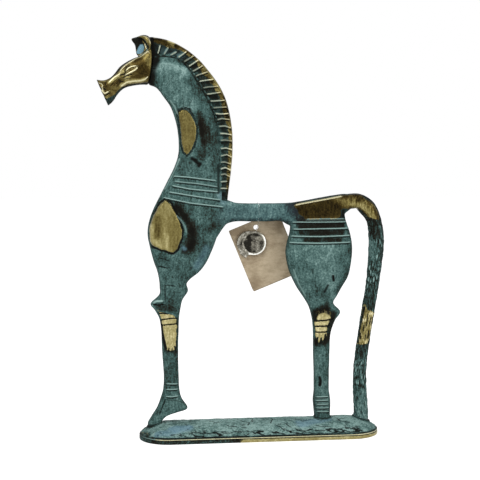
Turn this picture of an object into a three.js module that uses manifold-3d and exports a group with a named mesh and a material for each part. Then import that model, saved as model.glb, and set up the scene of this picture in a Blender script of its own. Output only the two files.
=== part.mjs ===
import * as THREE from 'three';
import { mergeVertices } from 'three/addons/utils/BufferGeometryUtils.js';
import Module from 'manifold-3d';

const { clamp, degToRad, lerp } = THREE.MathUtils;

// Cast bronze horse in the archaic Greek manner, flat as a plate, standing on a pillow-shaped base.
// Millimetres. X runs from the muzzle to the tail, Y away from the viewer, Z up.
// The horse is drawn from the crest of the base, so z = 0 in its outlines is the top of the dome.

// Base plate
const baseLength = 144;
const baseDepth = 36;
const rimHeight = 3.5;
const crestHeight = 9.9;
const rimRounding = 0.6;
const domePower = 2.2;
const baseCentreX = 10.1;

// How far the toe and the tail stand in from the two ends of the base
const toeInset = 4.9;
const tailInset = 5.1;

// Plate thickness, measured front to back
const neckThick = 9;
const shoulderThick = 14;
const kneeThick = 10;
const foreLegThick = 8.5;
const barThick = 8;
const rumpThick = 11.5;
const haunchThick = 14;
const hindLegThick = 8.6;
const muzzleThick = 9;
const noseThick = 7.6;
const skullThick = 13;

// Back bar
const barTop = 129.4;
const barHeight = 10.7;

// Mane comb
const maneThick = 8;
const maneTeeth = 27;
const grooveDepth = 0.9;
const edgeLandShare = 0.8;

// Ears
const earWallThick = 13.5;
const earWebThick = 4.5;

// Relief on both faces
const bossRise = 0.8;
const bossRoot = 0.4;
const chestLength = 28;
const chestWidth = 15;
const throatLength = 25;
const throatWidth = 8.5;
const eyeLength = 7;
const eyeHeight = 3.4;
const eyeRise = 0.7;

// Joints between castings
const seatGap = 0.3;
const brazeWidth = 1.2;
const brazeHeight = 1.8;
const footSink = 5;

// Hang tag
const cardWidth = 32;
const cardHeight = 40.8;
const cardThick = 0.6;
const holeDiameter = 3;
const holeFromTop = 4.3;
const cardTilt = degToRad(22.6);
const cardLean = degToRad(7.5);
const drawnTagX = 8.8;
const holeBelowBar = 4;

// Thread and seal
const threadDiameter = 0.6;
const sealDiameter = 14.5;
const shellRim = 0.6;
const shellDome = 1.3;
const shellOffset = 3;
const strapWidth = 5;
const strapLength = 4;
const strapThick = 1.2;
const sealSwing = -0.4;

// How square the plate sections are: 2 is an ellipse, higher is nearer a rectangle
const plateRoundness = 3;
const headRoundness = 2.4;
const rodRoundness = 2;

const wasm = await Module();
wasm.setup();

const vec = (x, y, z) => new THREE.Vector3(x, y, z);
const smooth = (points) => new THREE.CatmullRomCurve3(points, false, 'centripetal');

// Turns a closed geometry right side out, judged by the sign of its volume.
function outward(geometry) {
  const p = geometry.getAttribute('position');
  const index = geometry.getIndex();
  const [a, b, c] = [vec(), vec(), vec()];
  let volume = 0;
  for (let i = 0; i < index.count; i += 3) {
    a.fromBufferAttribute(p, index.getX(i));
    b.fromBufferAttribute(p, index.getX(i + 1));
    c.fromBufferAttribute(p, index.getX(i + 2));
    volume += a.dot(b.cross(c));
  }
  if (volume < 0) {
    for (let i = 0; i < index.count; i += 3) {
      const second = index.getX(i + 1);
      index.setX(i + 1, index.getX(i + 2));
      index.setX(i + 2, second);
    }
  }
  return geometry;
}

// Bare positions with shared corners merged, as booleans and lofts need them.
function welded(geometry) {
  const bare = geometry.clone();
  bare.deleteAttribute('normal');
  bare.deleteAttribute('uv');
  return outward(mergeVertices(bare, 1e-4));
}

function toSolid(geometry) {
  const g = welded(geometry);
  return new wasm.Manifold(new wasm.Mesh({
    numProp: 3,
    vertProperties: Float32Array.from(g.getAttribute('position').array),
    triVerts: Uint32Array.from(g.getIndex().array),
  }));
}

function fromSolid(solid) {
  const mesh = solid.getMesh();
  const g = new THREE.BufferGeometry();
  g.setAttribute('position', new THREE.BufferAttribute(Float32Array.from(mesh.vertProperties), 3));
  g.setIndex(new THREE.BufferAttribute(Uint32Array.from(mesh.triVerts), 1));
  g.computeVertexNormals();
  return g;
}

const join = (...parts) => fromSolid(parts.map(toSolid).reduce((a, b) => a.add(b)));
const cut = (body, ...tools) => fromSolid([body, ...tools].map(toSolid).reduce((a, b) => a.subtract(b)));

// Closed skin over rings of equal point count; each end is closed by a fan on its middle.
function skin(rings) {
  const sides = rings[0].length;
  const points = rings.flat();
  const middle = (ring) => ring.reduce((sum, p) => sum.add(p), vec(0, 0, 0)).divideScalar(sides);
  points.push(middle(rings[0]), middle(rings.at(-1)));
  const faces = [];
  const last = (rings.length - 1) * sides;
  for (let i = 0; i < sides; i += 1) {
    const j = (i + 1) % sides;
    for (let r = 0; r < last; r += sides) {
      faces.push(r + i, r + j, r + sides + j, r + i, r + sides + j, r + sides + i);
    }
    faces.push(points.length - 2, j, i, points.length - 1, last + i, last + j);
  }
  const g = new THREE.BufferGeometry().setFromPoints(points);
  g.setIndex(faces);
  return outward(g);
}

// One plate section: a superellipse from edge a to edge b, thick along Y, grown all round by grow.
function plateSection(a, b, thick, { sides, roundness, grow }) {
  const middle = a.clone().add(b).multiplyScalar(0.5);
  const along = b.clone().sub(a);
  const half = along.length() / 2 + grow;
  along.normalize();
  return Array.from({ length: sides }, (_, i) => {
    const angle = (2 * Math.PI * (i + 0.5)) / sides;
    const bulge = (v) => Math.sign(v) * Math.abs(v) ** (2 / roundness);
    const p = middle.clone().addScaledVector(along, half * bulge(Math.cos(angle)));
    p.y += (thick / 2 + grow) * bulge(Math.sin(angle));
    return p;
  });
}

// Stations are rows of [front x, z, back x, z, thickness]; the plate runs smoothly through them.
function rails(stations) {
  const front = smooth(stations.map(([x, z]) => vec(x, 0, z)));
  const back = smooth(stations.map(([, , x, z]) => vec(x, 0, z)));
  const thick = smooth(stations.map((row, i) => vec(i, row[4], 0)));
  return (t) => [front.getPoint(t), back.getPoint(t), thick.getPoint(t).y];
}

function plate(stations, options = {}) {
  const { steps = 2, sides = 14, roundness = plateRoundness, grow = 0, from = 0, to = 1 } = options;
  const at = rails(stations);
  const spans = Math.max(2, Math.round((stations.length - 1) * steps * (to - from)));
  const rings = Array.from({ length: spans + 1 }, (_, i) => {
    const [a, b, thick] = at(from + ((to - from) * i) / spans);
    return plateSection(a, b, thick, { sides, roundness, grow });
  });
  return skin(rings);
}

// Outline points in the X-Z plane pushed out to a thickness about y = 0.
function slab(points, thick, options = {}) {
  const bevel = options.bevel ?? 0;
  const shape = options.shape ?? new THREE.Shape(points.map(([x, z]) => new THREE.Vector2(x, z)));
  const g = new THREE.ExtrudeGeometry(shape, {
    depth: thick - 2 * bevel,
    steps: 1,
    curveSegments: options.curveSegments ?? 8,
    bevelEnabled: bevel > 0,
    bevelThickness: bevel,
    bevelSize: bevel,
    bevelOffset: -bevel,
    bevelSegments: 2,
  });
  g.translate(0, 0, bevel - thick / 2);
  g.rotateX(Math.PI / 2);
  return g;
}

// Base plate: a stadium with a square polished rim, domed like a pillow towards its spine.
function basePlate() {
  const radius = baseDepth / 2;
  const reach = baseLength / 2 - radius;
  const capSteps = 12;
  const sideSteps = 6;
  const outline = (r, z) => {
    const ring = [];
    for (const side of [1, -1]) {
      for (let i = 0; i <= capSteps; i += 1) {
        const angle = side * (Math.PI / 2 - (Math.PI * i) / capSteps);
        ring.push(vec(baseCentreX + side * (reach + r * Math.cos(angle)), r * Math.sin(angle), z));
      }
      for (let i = 1; i < sideSteps; i += 1) {
        ring.push(vec(baseCentreX + side * reach * (1 - (2 * i) / sideSteps), -side * r, z));
      }
    }
    return ring;
  };
  const shoulder = radius - rimRounding;
  const rings = [outline(shoulder, 0), outline(radius, rimRounding), outline(radius, rimHeight)];
  const domeSteps = 7;
  for (let i = 0; i < domeSteps; i += 1) {
    const share = 1 - i / domeSteps;
    const rise = 1 - share ** domePower;
    const z = rimHeight + rimRounding + (crestHeight - rimHeight - rimRounding) * rise;
    rings.push(outline(shoulder * share, z));
  }
  rings.push(outline(shoulder * 0.03, crestHeight));
  const g = skin(rings);
  return g.translate(0, 0, -crestHeight);
}

// The outlines are drawn for this stance and this back. The horse keeps its distance from both ends of
// the base, with the straight of the back bar taking up a change of length, and it keeps its shape above
// the back, with the legs taking up a change of height.
const drawnToe = -57;
const drawnTail = 77;
const drawnBack = 129.4;
const straightFrom = -4.2;
const straightTo = 23;
const foreShift = baseCentreX - baseLength / 2 + toeInset - drawnToe;
const hindShift = baseCentreX + baseLength / 2 - tailInset - drawnTail;

function along(x) {
  const share = clamp((x - straightFrom) / (straightTo - straightFrom), 0, 1);
  return x + lerp(foreShift, hindShift, share);
}

const level = (z) => z + (barTop - drawnBack) * clamp(z / drawnBack, 0, 1);
const stand = ([ax, az, bx, bz, thick]) => [along(ax), level(az), along(bx), level(bz), thick];

// Neck, chest and foreleg. The last rows run into the dome, which trims the sole.
const foreRows = [
  [-54.7, 198.4, -52.2, 217.0, neckThick],
  [-50.4, 196.7, -46.5, 217.5, neckThick],
  [-46.2, 191.3, -36.8, 216.0, neckThick],
  [-42.3, 185.7, -29.8, 209.0, neckThick],
  [-39.9, 179.4, -24.0, 200.5, neckThick],
  [-38.3, 172.0, -18.6, 190.8, neckThick],
  [-37.7, 164.5, -14.8, 181.5, neckThick],
  [-38.2, 157.3, -12.4, 170.0, neckThick + 0.5],
  [-40.3, 151.0, -11.9, 157.5, neckThick + 1],
  [-43.5, 144.5, -11.9, 146.5, neckThick + 1.6],
  [-48.3, 135.2, -12.0, 136.5, neckThick + 2.6],
  [-53.0, 125.8, -12.4, 127.5, shoulderThick - 1.2],
  [-55.6, 118.0, -12.0, 117.5, shoulderThick - 0.3],
  [-56.3, 111.8, -14.8, 111.5, shoulderThick],
  [-55.0, 104.5, -17.4, 104.3, shoulderThick],
  [-52.6, 95.2, -21.7, 94.9, shoulderThick - 0.8],
  [-50.9, 90.5, -26.0, 89.2, shoulderThick - 1.6],
  [-49.6, 84.6, -31.7, 84.7, kneeThick + 0.8],
  [-49.3, 80.6, -33.5, 82.2, kneeThick + 0.4],
  [-49.4, 76.2, -32.6, 78.2, kneeThick],
  [-54.8, 70.4, -36.0, 72.6, kneeThick],
  [-52.6, 67.2, -37.2, 67.5, kneeThick],
  [-49.8, 62.0, -38.0, 62.0, kneeThick - 0.6],
  [-48.6, 54.5, -38.3, 54.5, foreLegThick],
  [-48.0, 42.0, -38.6, 41.0, foreLegThick],
  [-47.2, 26.0, -38.3, 26.5, foreLegThick],
  [-47.6, 19.3, -38.0, 19.5, foreLegThick],
  [-49.2, 13.9, -36.7, 14.1, foreLegThick + 0.3],
  [-51.5, 8.2, -33.1, 7.8, foreLegThick + 0.5],
  [-53.7, 4.8, -38.5, 5.9, foreLegThick],
  [-55.1, 2.4, -45.4, 3.5, foreLegThick - 0.3],
  [-56.6, 0, -49.0, -0.2, foreLegThick - 0.5],
  [drawnToe, -footSink, -50.3, -footSink, foreLegThick - 0.5],
].map(stand);

// Haunch and hind leg, from inside the rump down to the sole.
const hindRows = [
  [29.0, 124.5, 60.5, 126.5, rumpThick],
  [28.6, 118.5, 61.7, 119.5, rumpThick + 0.5],
  [28.0, 112.0, 64.1, 112.5, haunchThick - 1],
  [26.4, 105.6, 65.5, 106.1, haunchThick],
  [25.6, 100.0, 65.8, 100.0, haunchThick],
  [26.5, 94.0, 65.1, 93.3, haunchThick],
  [28.4, 87.3, 63.4, 85.5, haunchThick - 0.5],
  [32.4, 79.2, 59.9, 79.4, haunchThick - 2],
  [37.0, 72.3, 56.5, 73.5, haunchThick - 3.5],
  [39.7, 67.6, 54.4, 69.6, hindLegThick + 1.4],
  [41.0, 63.3, 58.8, 64.0, hindLegThick + 0.8],
  [42.0, 58.5, 55.7, 59.1, hindLegThick + 0.4],
  [42.5, 51.5, 53.1, 51.5, hindLegThick],
  [42.6, 40.5, 52.4, 40.5, hindLegThick],
  [43.1, 24.5, 52.1, 24.5, hindLegThick],
  [43.1, 16.5, 52.2, 16.5, hindLegThick],
  [42.6, 10.5, 53.0, 11.0, hindLegThick + 0.4],
  [43.3, 3.1, 52.9, 2.8, hindLegThick + 0.4],
  [43.6, -footSink, 53.0, -footSink, hindLegThick + 0.4],
].map(stand);

// Back bar, rump and root of the tail, as [top x, z, bottom x, z, thickness].
const barBottom = barTop - barHeight;
const backRows = [
  [-16.0, barTop + 2.8, -16.0, barBottom - 10, neckThick + 2],
  [-9.4, barTop + 2.1, -10.2, barBottom - 1.8, barThick + 0.8],
  [-7.4, barTop + 1.4, -7.6, barBottom - 0.6, barThick + 0.4],
  [straightFrom, barTop + 0.4, straightFrom, barBottom, barThick],
  [4.3, barTop, 4.3, barBottom, barThick],
  [16.2, barTop, 16.2, barBottom, barThick],
  [straightTo, barTop, 22.6, barBottom, barThick + 0.5],
  [28.2, barTop + 0.2, 27.4, barBottom - 2.4, rumpThick - 1.5],
  [34.2, barTop + 1, 34.5, barBottom - 4, rumpThick - 0.5],
  [46.3, barTop + 3.1, 46.5, barBottom - 3, rumpThick],
  [56.0, barTop + 4.7, 56.0, barBottom, rumpThick - 0.5],
  [61.2, barTop + 5.4, 62.0, barBottom + 5, rumpThick - 1.7],
  [64.6, barTop + 5.5, 66.2, barBottom + 7.3, rumpThick - 3],
].map(([ax, az, bx, bz, thick]) => [along(ax), az, along(bx), bz, thick]);

// Tail rod, as [outer x, z, inner x, z, thickness]; round, so its thickness is its width.
const tailStart = backRows.at(-1);
const tailDrawn = [
  [69.5, 134.9, 68.4, 125.8],
  [74.2, 133.2, 69.6, 124.4],
  [78.7, 129.8, 71.6, 122.2],
  [81.8, 124.5, 73.9, 119.3],
  [84.2, 117.1, 75.3, 115.3],
  [85.5, 108.5, 75.9, 107.5],
  [85.1, 99.0, 75.7, 98.0],
  [83.7, 87.5, 75.0, 86.5],
  [82.2, 76.5, 73.8, 76.0],
  [80.1, 63.5, 71.7, 63.5],
  [78.2, 51.5, 69.9, 51.5],
  [76.6, 40.5, 68.4, 40.5],
  [75.4, 27.5, 67.1, 27.5],
  [75.8, 15.5, 67.1, 15.5],
  [76.6, 5.0, 67.6, 5.0],
  [drawnTail, -footSink, 67.2, -footSink],
];
const tailRows = [
  [tailStart[0] + seatGap, tailStart[1], tailStart[2] + seatGap, tailStart[3]],
  ...tailDrawn.map(stand),
].map(([ax, az, bx, bz]) => [ax, az, bx, bz, Math.hypot(ax - bx, az - bz)]);

// Mane comb, as [outer x, z, inner x, z, thickness].
const maneRows = [
  [-52.3, 225.9, -51.7, 215.2],
  [-44.3, 224.4, -47.0, 215.3],
  [-35.2, 220.3, -38.0, 213.8],
  [-26.9, 214.2, -32.0, 208.6],
  [-19.8, 206.4, -27.6, 202.2],
  [-13.7, 197.9, -23.2, 195.2],
  [-9.9, 189.8, -19.6, 188.4],
  [-7.6, 181.1, -16.6, 181.0],
  [-6.3, 171.5, -14.5, 172.6],
  [-6.1, 161.0, -13.9, 162.4],
  [-7.0, 149.0, -13.9, 150.6],
  [-8.2, 139.5, -13.9, 141.4],
  [-9.2, 131.2, -13.9, 131.2],
].map((row) => stand([...row, maneThick]));

// Head, as [top x, z, bottom x, z, thickness], from the flared muzzle back to the neck joint.
const headRows = [
  [-85.1, 201.4, -78.5, 186.3, muzzleThick],
  [-81.0, 201.0, -75.7, 188.8, muzzleThick - 0.7],
  [-77.5, 202.4, -73.6, 191.9, noseThick],
  [-74.3, 205.4, -71.5, 194.5, noseThick + 0.3],
  [-71.6, 208.9, -68.6, 196.6, noseThick + 1.9],
  [-68.3, 211.3, -65.5, 197.6, skullThick - 1.6],
  [-64.0, 213.6, -61.2, 198.3, skullThick],
  [-59.5, 215.5, -58.0, 198.5, skullThick + 0.5],
  [-52.7, 222.5, -55.0, 198.5, skullThick],
].map(stand);
const earRows = [
  [-61.9, 225.8, -61.4, 225.2, earWebThick],
  [-58.4, 227.1, -58.7, 223.8, earWallThick - 4],
  [-55.0, 226.4, -56.9, 221.2, earWallThick],
  [-52.6, 223.6, -55.9, 218.9, earWallThick],
  [-52.9, 219.0, -57.2, 216.8, skullThick],
].map(stand);
const earWeb = [
  [-64.8, 225.0],
  [-62.9, 221.3],
  [-61.6, 217.2],
  [-61.6, 213.5],
  [-56.0, 214.0],
  [-53.4, 219.0],
  [-54.5, 224.6],
  [-58.5, 226.3],
].map(([x, z]) => [along(x), level(z)]);

// Middles and leans of the eye and of the two raised ovals
const eyeAt = [along(-64.4), level(206.4)];
const eyeLean = degToRad(38);
const chestAt = [along(-45.6), level(116.5)];
const throatAt = [along(-31.8), level(171.5)];
const ovalLean = degToRad(8);

// Lens with pointed ends, one arc above and one below, pushed out to a thickness.
function almond(length, height, thick) {
  const shape = new THREE.Shape();
  shape.moveTo(-length / 2, 0);
  shape.quadraticCurveTo(0, height, length / 2, 0);
  shape.quadraticCurveTo(0, -height, -length / 2, 0);
  return slab(null, thick, { shape, curveSegments: 6 });
}

function headCasting() {
  const skull = plate(headRows, { roundness: headRoundness, steps: 3, sides: 16 });
  const ears = plate(earRows, { roundness: rodRoundness, steps: 3, sides: 12 });
  const web = slab(earWeb, earWebThick, { bevel: 0.8 });
  const eye = almond(eyeLength, eyeHeight, skullThick - 0.3 + 2 * eyeRise);
  eye.rotateY(-eyeLean).translate(eyeAt[0], 0, eyeAt[1]);
  return join(skull, ears, web, eye);
}

// Mane: a flat band whose two faces are cut by a groove between each pair of teeth.
// Its section has the inner seat flat and the outer edge rounded over.
function maneComb() {
  const at = rails(maneRows);
  const rings = [];
  const section = (t, depth) => {
    const [outer, inner] = at(t);
    const across = outer.clone().sub(inner);
    const point = (share, y) => {
      const p = inner.clone().addScaledVector(across, share);
      p.y = y;
      return p;
    };
    const low = maneThick / 2 - depth;
    const edge = maneThick / 2 - 0.4;
    const half = [[0, low], [edgeLandShare, low], [edgeLandShare + 0.08, edge], [1, edge * 0.5]];
    const near = half.map(([share, y]) => point(share, y));
    const far = half.map(([share, y]) => point(share, -y)).reverse();
    return [...near, ...far];
  };
  for (let i = 0; i < maneTeeth; i += 1) {
    const place = (share) => (i + share) / maneTeeth;
    rings.push(section(place(0.2), grooveDepth), section(place(0.42), 0));
    rings.push(section(place(0.58), 0), section(place(0.8), grooveDepth));
  }
  return skin(rings);
}

// The mane's place in the body, with room for the joint on every side of it.
function maneSeat() {
  const grown = maneRows.map(([ox, oz, ix, iz]) => [ox, oz, ix, iz, 3 * maneThick]);
  const first = grown[0].slice();
  first[0] -= 3;
  first[2] -= 3;
  const last = grown.at(-1).slice();
  last[1] -= seatGap;
  last[3] -= seatGap;
  return plate([first, ...grown, last], { roundness: 40, sides: 8, steps: 3, grow: seatGap });
}

// Oval boss through the plate: a steep rim that stands up to a low crown on both faces.
function boss([x, z], length, width, thick) {
  const g = new THREE.SphereGeometry(1, 20, 12);
  g.rotateX(Math.PI / 2);
  const p = g.getAttribute('position');
  for (let i = 0; i < p.count; i += 1) {
    const crown = Math.abs(p.getY(i));
    const side = crown < 1e-6 ? 0 : Math.sign(p.getY(i));
    p.setY(i, side * (thick / 2 - bossRoot + (bossRise + bossRoot) * crown ** 0.7));
  }
  g.scale(width / 2, 1, length / 2);
  g.rotateY(-ovalLean);
  return g.translate(x, 0, z);
}

// A sole is trimmed to the dome, leaving the joint open by the seat gap.
const raisedBase = (lift) => basePlate().translate(0, 0, lift);

function bodyCasting() {
  const fore = plate(foreRows);
  const hind = plate(hindRows);
  const back = plate(backRows);
  const chest = boss(chestAt, chestLength, chestWidth, shoulderThick);
  const throat = boss(throatAt, throatLength, throatWidth, neckThick + 0.2);
  return cut(join(fore, hind, back, chest, throat), maneSeat(), raisedBase(seatGap));
}

function tailRod() {
  const rod = plate(tailRows, { roundness: rodRoundness, sides: 12 });
  return cut(rod, raisedBase(seatGap));
}

// Height of the dome over the base's centre line; it falls away over the round ends.
function domeTop(x) {
  const past = Math.max(0, Math.abs(x - baseCentreX) - (baseLength - baseDepth) / 2);
  return -(crestHeight - rimHeight) * (past / (baseDepth / 2)) ** domePower;
}

// Collar of braze round the last stretch of a leg, thick at the base and thin above.
function brazeCollar(rows, roundness) {
  const at = rails(rows);
  const [a, b, thick] = at(1);
  const ring = (z, grow) => (
    plateSection(vec(a.x, 0, z), vec(b.x, 0, z), thick, { sides: 20, roundness, grow })
  );
  const foot = domeTop((a.x + b.x) / 2);
  const outer = skin([
    ring(-footSink, seatGap + brazeWidth * 1.3),
    ring(foot, seatGap + brazeWidth),
    ring(foot + brazeHeight / 2, seatGap + brazeWidth * 0.55),
    ring(foot + brazeHeight, seatGap + brazeWidth * 0.3),
  ]);
  const room = plate(rows, { roundness, grow: seatGap, from: 1 - 3 / (rows.length - 1), to: 1 });
  return cut(outer, room, raisedBase(seatGap));
}

// Loop of the thread, in the plane across the bar, from the seal up the front, over and down behind.
const tagX = along(drawnTagX);
const barMiddle = barTop - barHeight / 2;
const barReach = Math.hypot(barThick / 2, barHeight / 2) * 0.5 ** (1 / plateRoundness);
const loopRadius = barReach + seatGap + threadDiameter / 2;
const cardMid = (barReach + seatGap + cardThick / 2) / Math.cos(cardLean);
const holeZ = barBottom - holeBelowBar;
const cardY = (z) => cardMid + (barMiddle - z) * Math.tan(cardLean);
const holeY = cardY(holeZ);
const sealTopZ = holeZ - 2;
const sealY = cardY(sealTopZ) - cardThick / 2 - seatGap - shellDome;

function tagThread() {
  const round = (degrees, radius = loopRadius) => {
    const angle = degToRad(degrees);
    return vec(tagX, radius * Math.sin(angle), barMiddle + radius * Math.cos(angle));
  };
  const behind = cardThick / 2 + threadDiameter;
  const route = [
    vec(tagX, sealY - threadDiameter, sealTopZ),
    round(-165, loopRadius + 1.6),
    round(-130),
    round(-90),
    round(-50),
    round(-10),
    round(30),
    round(65),
    round(95, loopRadius + 0.6),
    vec(tagX, cardY(holeZ + 2.6) + behind + 0.2, holeZ + 2.6),
    vec(tagX, holeY + behind + 0.1, holeZ + 0.9),
    vec(tagX, holeY - 0.1, holeZ - 0.2),
    vec(tagX, holeY - 1.2, holeZ - 0.7),
    vec(tagX, sealY + threadDiameter, sealTopZ),
  ];
  const wire = new THREE.Shape();
  wire.absarc(0, 0, threadDiameter / 2, 0, 2 * Math.PI);
  return new THREE.ExtrudeGeometry(wire, {
    extrudePath: smooth(route),
    steps: 44,
    curveSegments: 4,
    bevelEnabled: false,
  });
}

function hangTag() {
  const shape = new THREE.Shape();
  const half = cardWidth / 2;
  shape.moveTo(-half, holeFromTop);
  shape.lineTo(-half, holeFromTop - cardHeight);
  shape.lineTo(half, holeFromTop - cardHeight);
  shape.lineTo(half, holeFromTop);
  shape.closePath();
  const hole = new THREE.Path();
  hole.absarc(0, 0, holeDiameter / 2, 0, 2 * Math.PI, true);
  shape.holes.push(hole);
  const card = slab(null, cardThick, { shape, curveSegments: 10 });
  card.rotateY(-cardTilt).rotateX(cardLean);
  return card.translate(tagX, holeY, holeZ);
}

// Seal: two domed tin shells folded face to face over the thread ends, joined by a strap.
function tagSeal() {
  const radius = sealDiameter / 2;
  const profile = [
    [0, -0.1],
    [radius, -0.1],
    [radius, shellRim * 0.7],
    [radius * 0.92, shellRim],
    [radius * 0.82, shellRim * 0.8],
    [radius * 0.45, shellDome * 0.85],
    [0, shellDome],
  ].map(([r, h]) => new THREE.Vector2(r, h));
  const rear = new THREE.LatheGeometry(profile, 24).translate(-shellOffset, 0, 0);
  const front = new THREE.LatheGeometry(profile, 24).rotateX(Math.PI);
  const strap = new THREE.BoxGeometry(strapWidth, strapThick, strapLength);
  strap.translate(0, 0, -radius).rotateY(degToRad(35)).translate(-shellOffset / 2, 0, 0);
  const seal = join(front, rear, strap);
  seal.translate(0, 0, -radius - seatGap).rotateX(cardLean);
  return seal.translate(tagX + shellOffset * sealSwing, sealY, sealTopZ);
}

// Finishes
const finish = (color, roughness, metalness) => () => (
  new THREE.MeshStandardMaterial({ color, roughness, metalness })
);
const patina = finish(0x5f8f8b, 0.62, 0.35);
const darkPatina = finish(0x4a6f6c, 0.7, 0.3);
const polished = finish(0x8a7434, 0.34, 0.9);
const card = finish(0xcbb089, 0.85, 0);
const nylon = finish(0xe8ecec, 0.25, 0);
const tin = finish(0xa9a79f, 0.35, 0.9);

const horse = new THREE.Group();
const place = (name, geometry, material) => {
  const mesh = new THREE.Mesh(welded(geometry), material());
  mesh.geometry.computeVertexNormals();
  mesh.name = name;
  horse.add(mesh);
  return mesh;
};

place('base_plate', basePlate(), patina);
place('body_casting', bodyCasting(), patina);
place('head_casting', headCasting(), polished);
place('mane_comb', maneComb(), polished);
place('tail_rod', tailRod(), darkPatina);
place('fore_foot_braze', brazeCollar(foreRows, plateRoundness), darkPatina);
place('hind_foot_braze', brazeCollar(hindRows, plateRoundness), darkPatina);
place('tail_foot_braze', brazeCollar(tailRows, rodRoundness), darkPatina);
place('hang_tag', hangTag(), card);
place('tag_thread', tagThread(), nylon);
place('tag_seal', tagSeal(), tin);

// The origin is the middle of the object's footprint on the surface that it stands on.
const model = new THREE.Group();
model.add(horse);
const box = new THREE.Box3().setFromObject(horse);
horse.position.set(-(box.min.x + box.max.x) / 2, -(box.min.y + box.max.y) / 2, -box.min.z);

export default model;
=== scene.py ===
import bpy
import numpy as np
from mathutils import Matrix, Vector


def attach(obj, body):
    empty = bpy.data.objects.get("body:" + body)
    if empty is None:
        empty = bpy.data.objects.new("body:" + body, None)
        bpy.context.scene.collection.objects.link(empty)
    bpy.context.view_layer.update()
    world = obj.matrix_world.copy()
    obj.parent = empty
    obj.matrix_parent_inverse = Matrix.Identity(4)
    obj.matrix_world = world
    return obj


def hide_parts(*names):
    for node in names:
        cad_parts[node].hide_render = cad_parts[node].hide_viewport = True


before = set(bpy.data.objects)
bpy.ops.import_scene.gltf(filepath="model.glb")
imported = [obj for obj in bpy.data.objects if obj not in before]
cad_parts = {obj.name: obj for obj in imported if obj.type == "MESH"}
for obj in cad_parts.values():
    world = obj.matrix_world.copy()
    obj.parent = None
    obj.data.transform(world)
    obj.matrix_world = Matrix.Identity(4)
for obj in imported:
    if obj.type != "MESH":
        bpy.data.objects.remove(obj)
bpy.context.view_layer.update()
print("frame loaded with", len(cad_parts), "CAD nodes")

# Everything is drawn in millimetres from the crest of the base, as the castings' outlines are.
# inFrame moves drawn points into the shared frame, in metres, and fromFrame brings them back.
drawing = {"offset": (-0.1447, 0.0, 9.9), "unit": 0.001}


def inFrame(points):
    return (np.asarray(points, float) + drawing["offset"]) * drawing["unit"]


def fromFrame(points):
    return np.asarray(points, float) / drawing["unit"] - drawing["offset"]


# Curves and grids

# Smooth step: 3v^2 - 2v^3 of v held between 0 and 1.
def soft(v):
    v = np.clip(v, 0, 1)
    return v * v * (3 - 2 * v)


# Smooth step from 0 at start to 1 a width further on. With a width below 0 it falls: it is 1 before start.
def fade(v, start, width):
    return soft((v - start) / width)


# Smooth step from 1 in the middle to 0 a reach away on either side.
def nearTo(v, middle, reach):
    return soft(1 - np.abs(v - middle) / reach)


# Smooth step over an outline, from half a width outside it to half a width inside.
def overEdge(depth, width):
    return soft(depth / width + 0.5)


# Centripetal spline through points: on each span a cubic, whose slopes weigh the chords either side
# by the square roots of their lengths. t runs from 0 to 1 over all spans.
def smoothLine(points, t):
    p = np.asarray(points, float)
    p = np.vstack([2 * p[0] - p[1], p, 2 * p[-1] - p[-2]])
    place = np.clip(np.atleast_1d(t), 0, 1) * (len(p) - 3)
    i = np.minimum(place.astype(int), len(p) - 4)
    w = (place - i)[:, None]
    a, b, c, d = p[i], p[i + 1], p[i + 2], p[i + 3]
    lengths = (np.linalg.norm(v - u, axis=1) for u, v in ((a, b), (b, c), (c, d)))
    ab, bc, cd = (np.maximum(length, 1e-9)[:, None] ** 0.5 for length in lengths)
    m1 = ((b - a) / ab - (c - a) / (ab + bc) + (c - b) / bc) * bc
    m2 = ((c - b) / bc - (d - b) / (bc + cd) + (d - c) / cd) * bc
    return b + m1 * w + (3 * (c - b) - 2 * m1 - m2) * w**2 + (2 * (b - c) + m1 + m2) * w**3


# Angles evenly round a circle, the first of them shift steps on.
def ringAngles(count, shift=0.0):
    return 2 * np.pi * (np.arange(count) + shift) / count


# Cosine and sine, each with its size raised to the power 2 / n: a superellipse |u|^n + |v|^n = 1.
def superellipse(angle, n):
    return (np.sign(v) * np.abs(v) ** (2 / n) for v in (np.cos(angle), np.sin(angle)))


# Rings of a plate: at each t a superellipse from the front rail to the back rail, thick along Y.
# rows are [front x, z, back x, z, thickness]; roundness is one number, or one for each ring.
def plateGrid(rows, t, sides, roundness):
    rows = np.asarray(rows, float)
    front, back = smoothLine(rows[:, 0:2], t), smoothLine(rows[:, 2:4], t)
    thick = smoothLine(np.column_stack([np.arange(len(rows)), rows[:, 4]]), t)[:, 1]
    middle, along = (front + back) / 2, back - front
    c, s = superellipse(ringAngles(sides, 0.5), np.reshape(roundness, (-1, 1)))
    x, z = (middle[:, a : a + 1] + along[:, a : a + 1] / 2 * c for a in (0, 1))
    return np.stack([x, thick[:, None] / 2 * s, z], axis=-1)


# Quads between the neighbours of an n by m grid, closed round its rows, its columns or both.
def gridQuads(n, m, rowsClosed, columnsClosed):
    i, j = np.meshgrid(np.arange(n if rowsClosed else n - 1), np.arange(m if columnsClosed else m - 1), indexing="ij")
    a, b = (i + 1) % n, (j + 1) % m
    return np.stack([i * m + j, a * m + j, a * m + b, i * m + b], -1).reshape(-1, 4)


# Closed skin over the rings of a grid, with a fan on the middle of each end.
def skin(grid):
    n, m = grid.shape[:2]
    points = np.vstack([grid.reshape(-1, 3), grid[0].mean(0), grid[-1].mean(0)])
    quads = gridQuads(n, m, False, True)[:, [0, 3, 2, 1]]
    r, q = np.arange(m), (np.arange(m) + 1) % m
    first = np.stack([q, r, np.full(m, n * m)], -1)
    last = np.stack([(n - 1) * m + r, (n - 1) * m + q, np.full(m, n * m + 1)], -1)
    return outward(points, [quads, np.vstack([first, last])])


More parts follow.
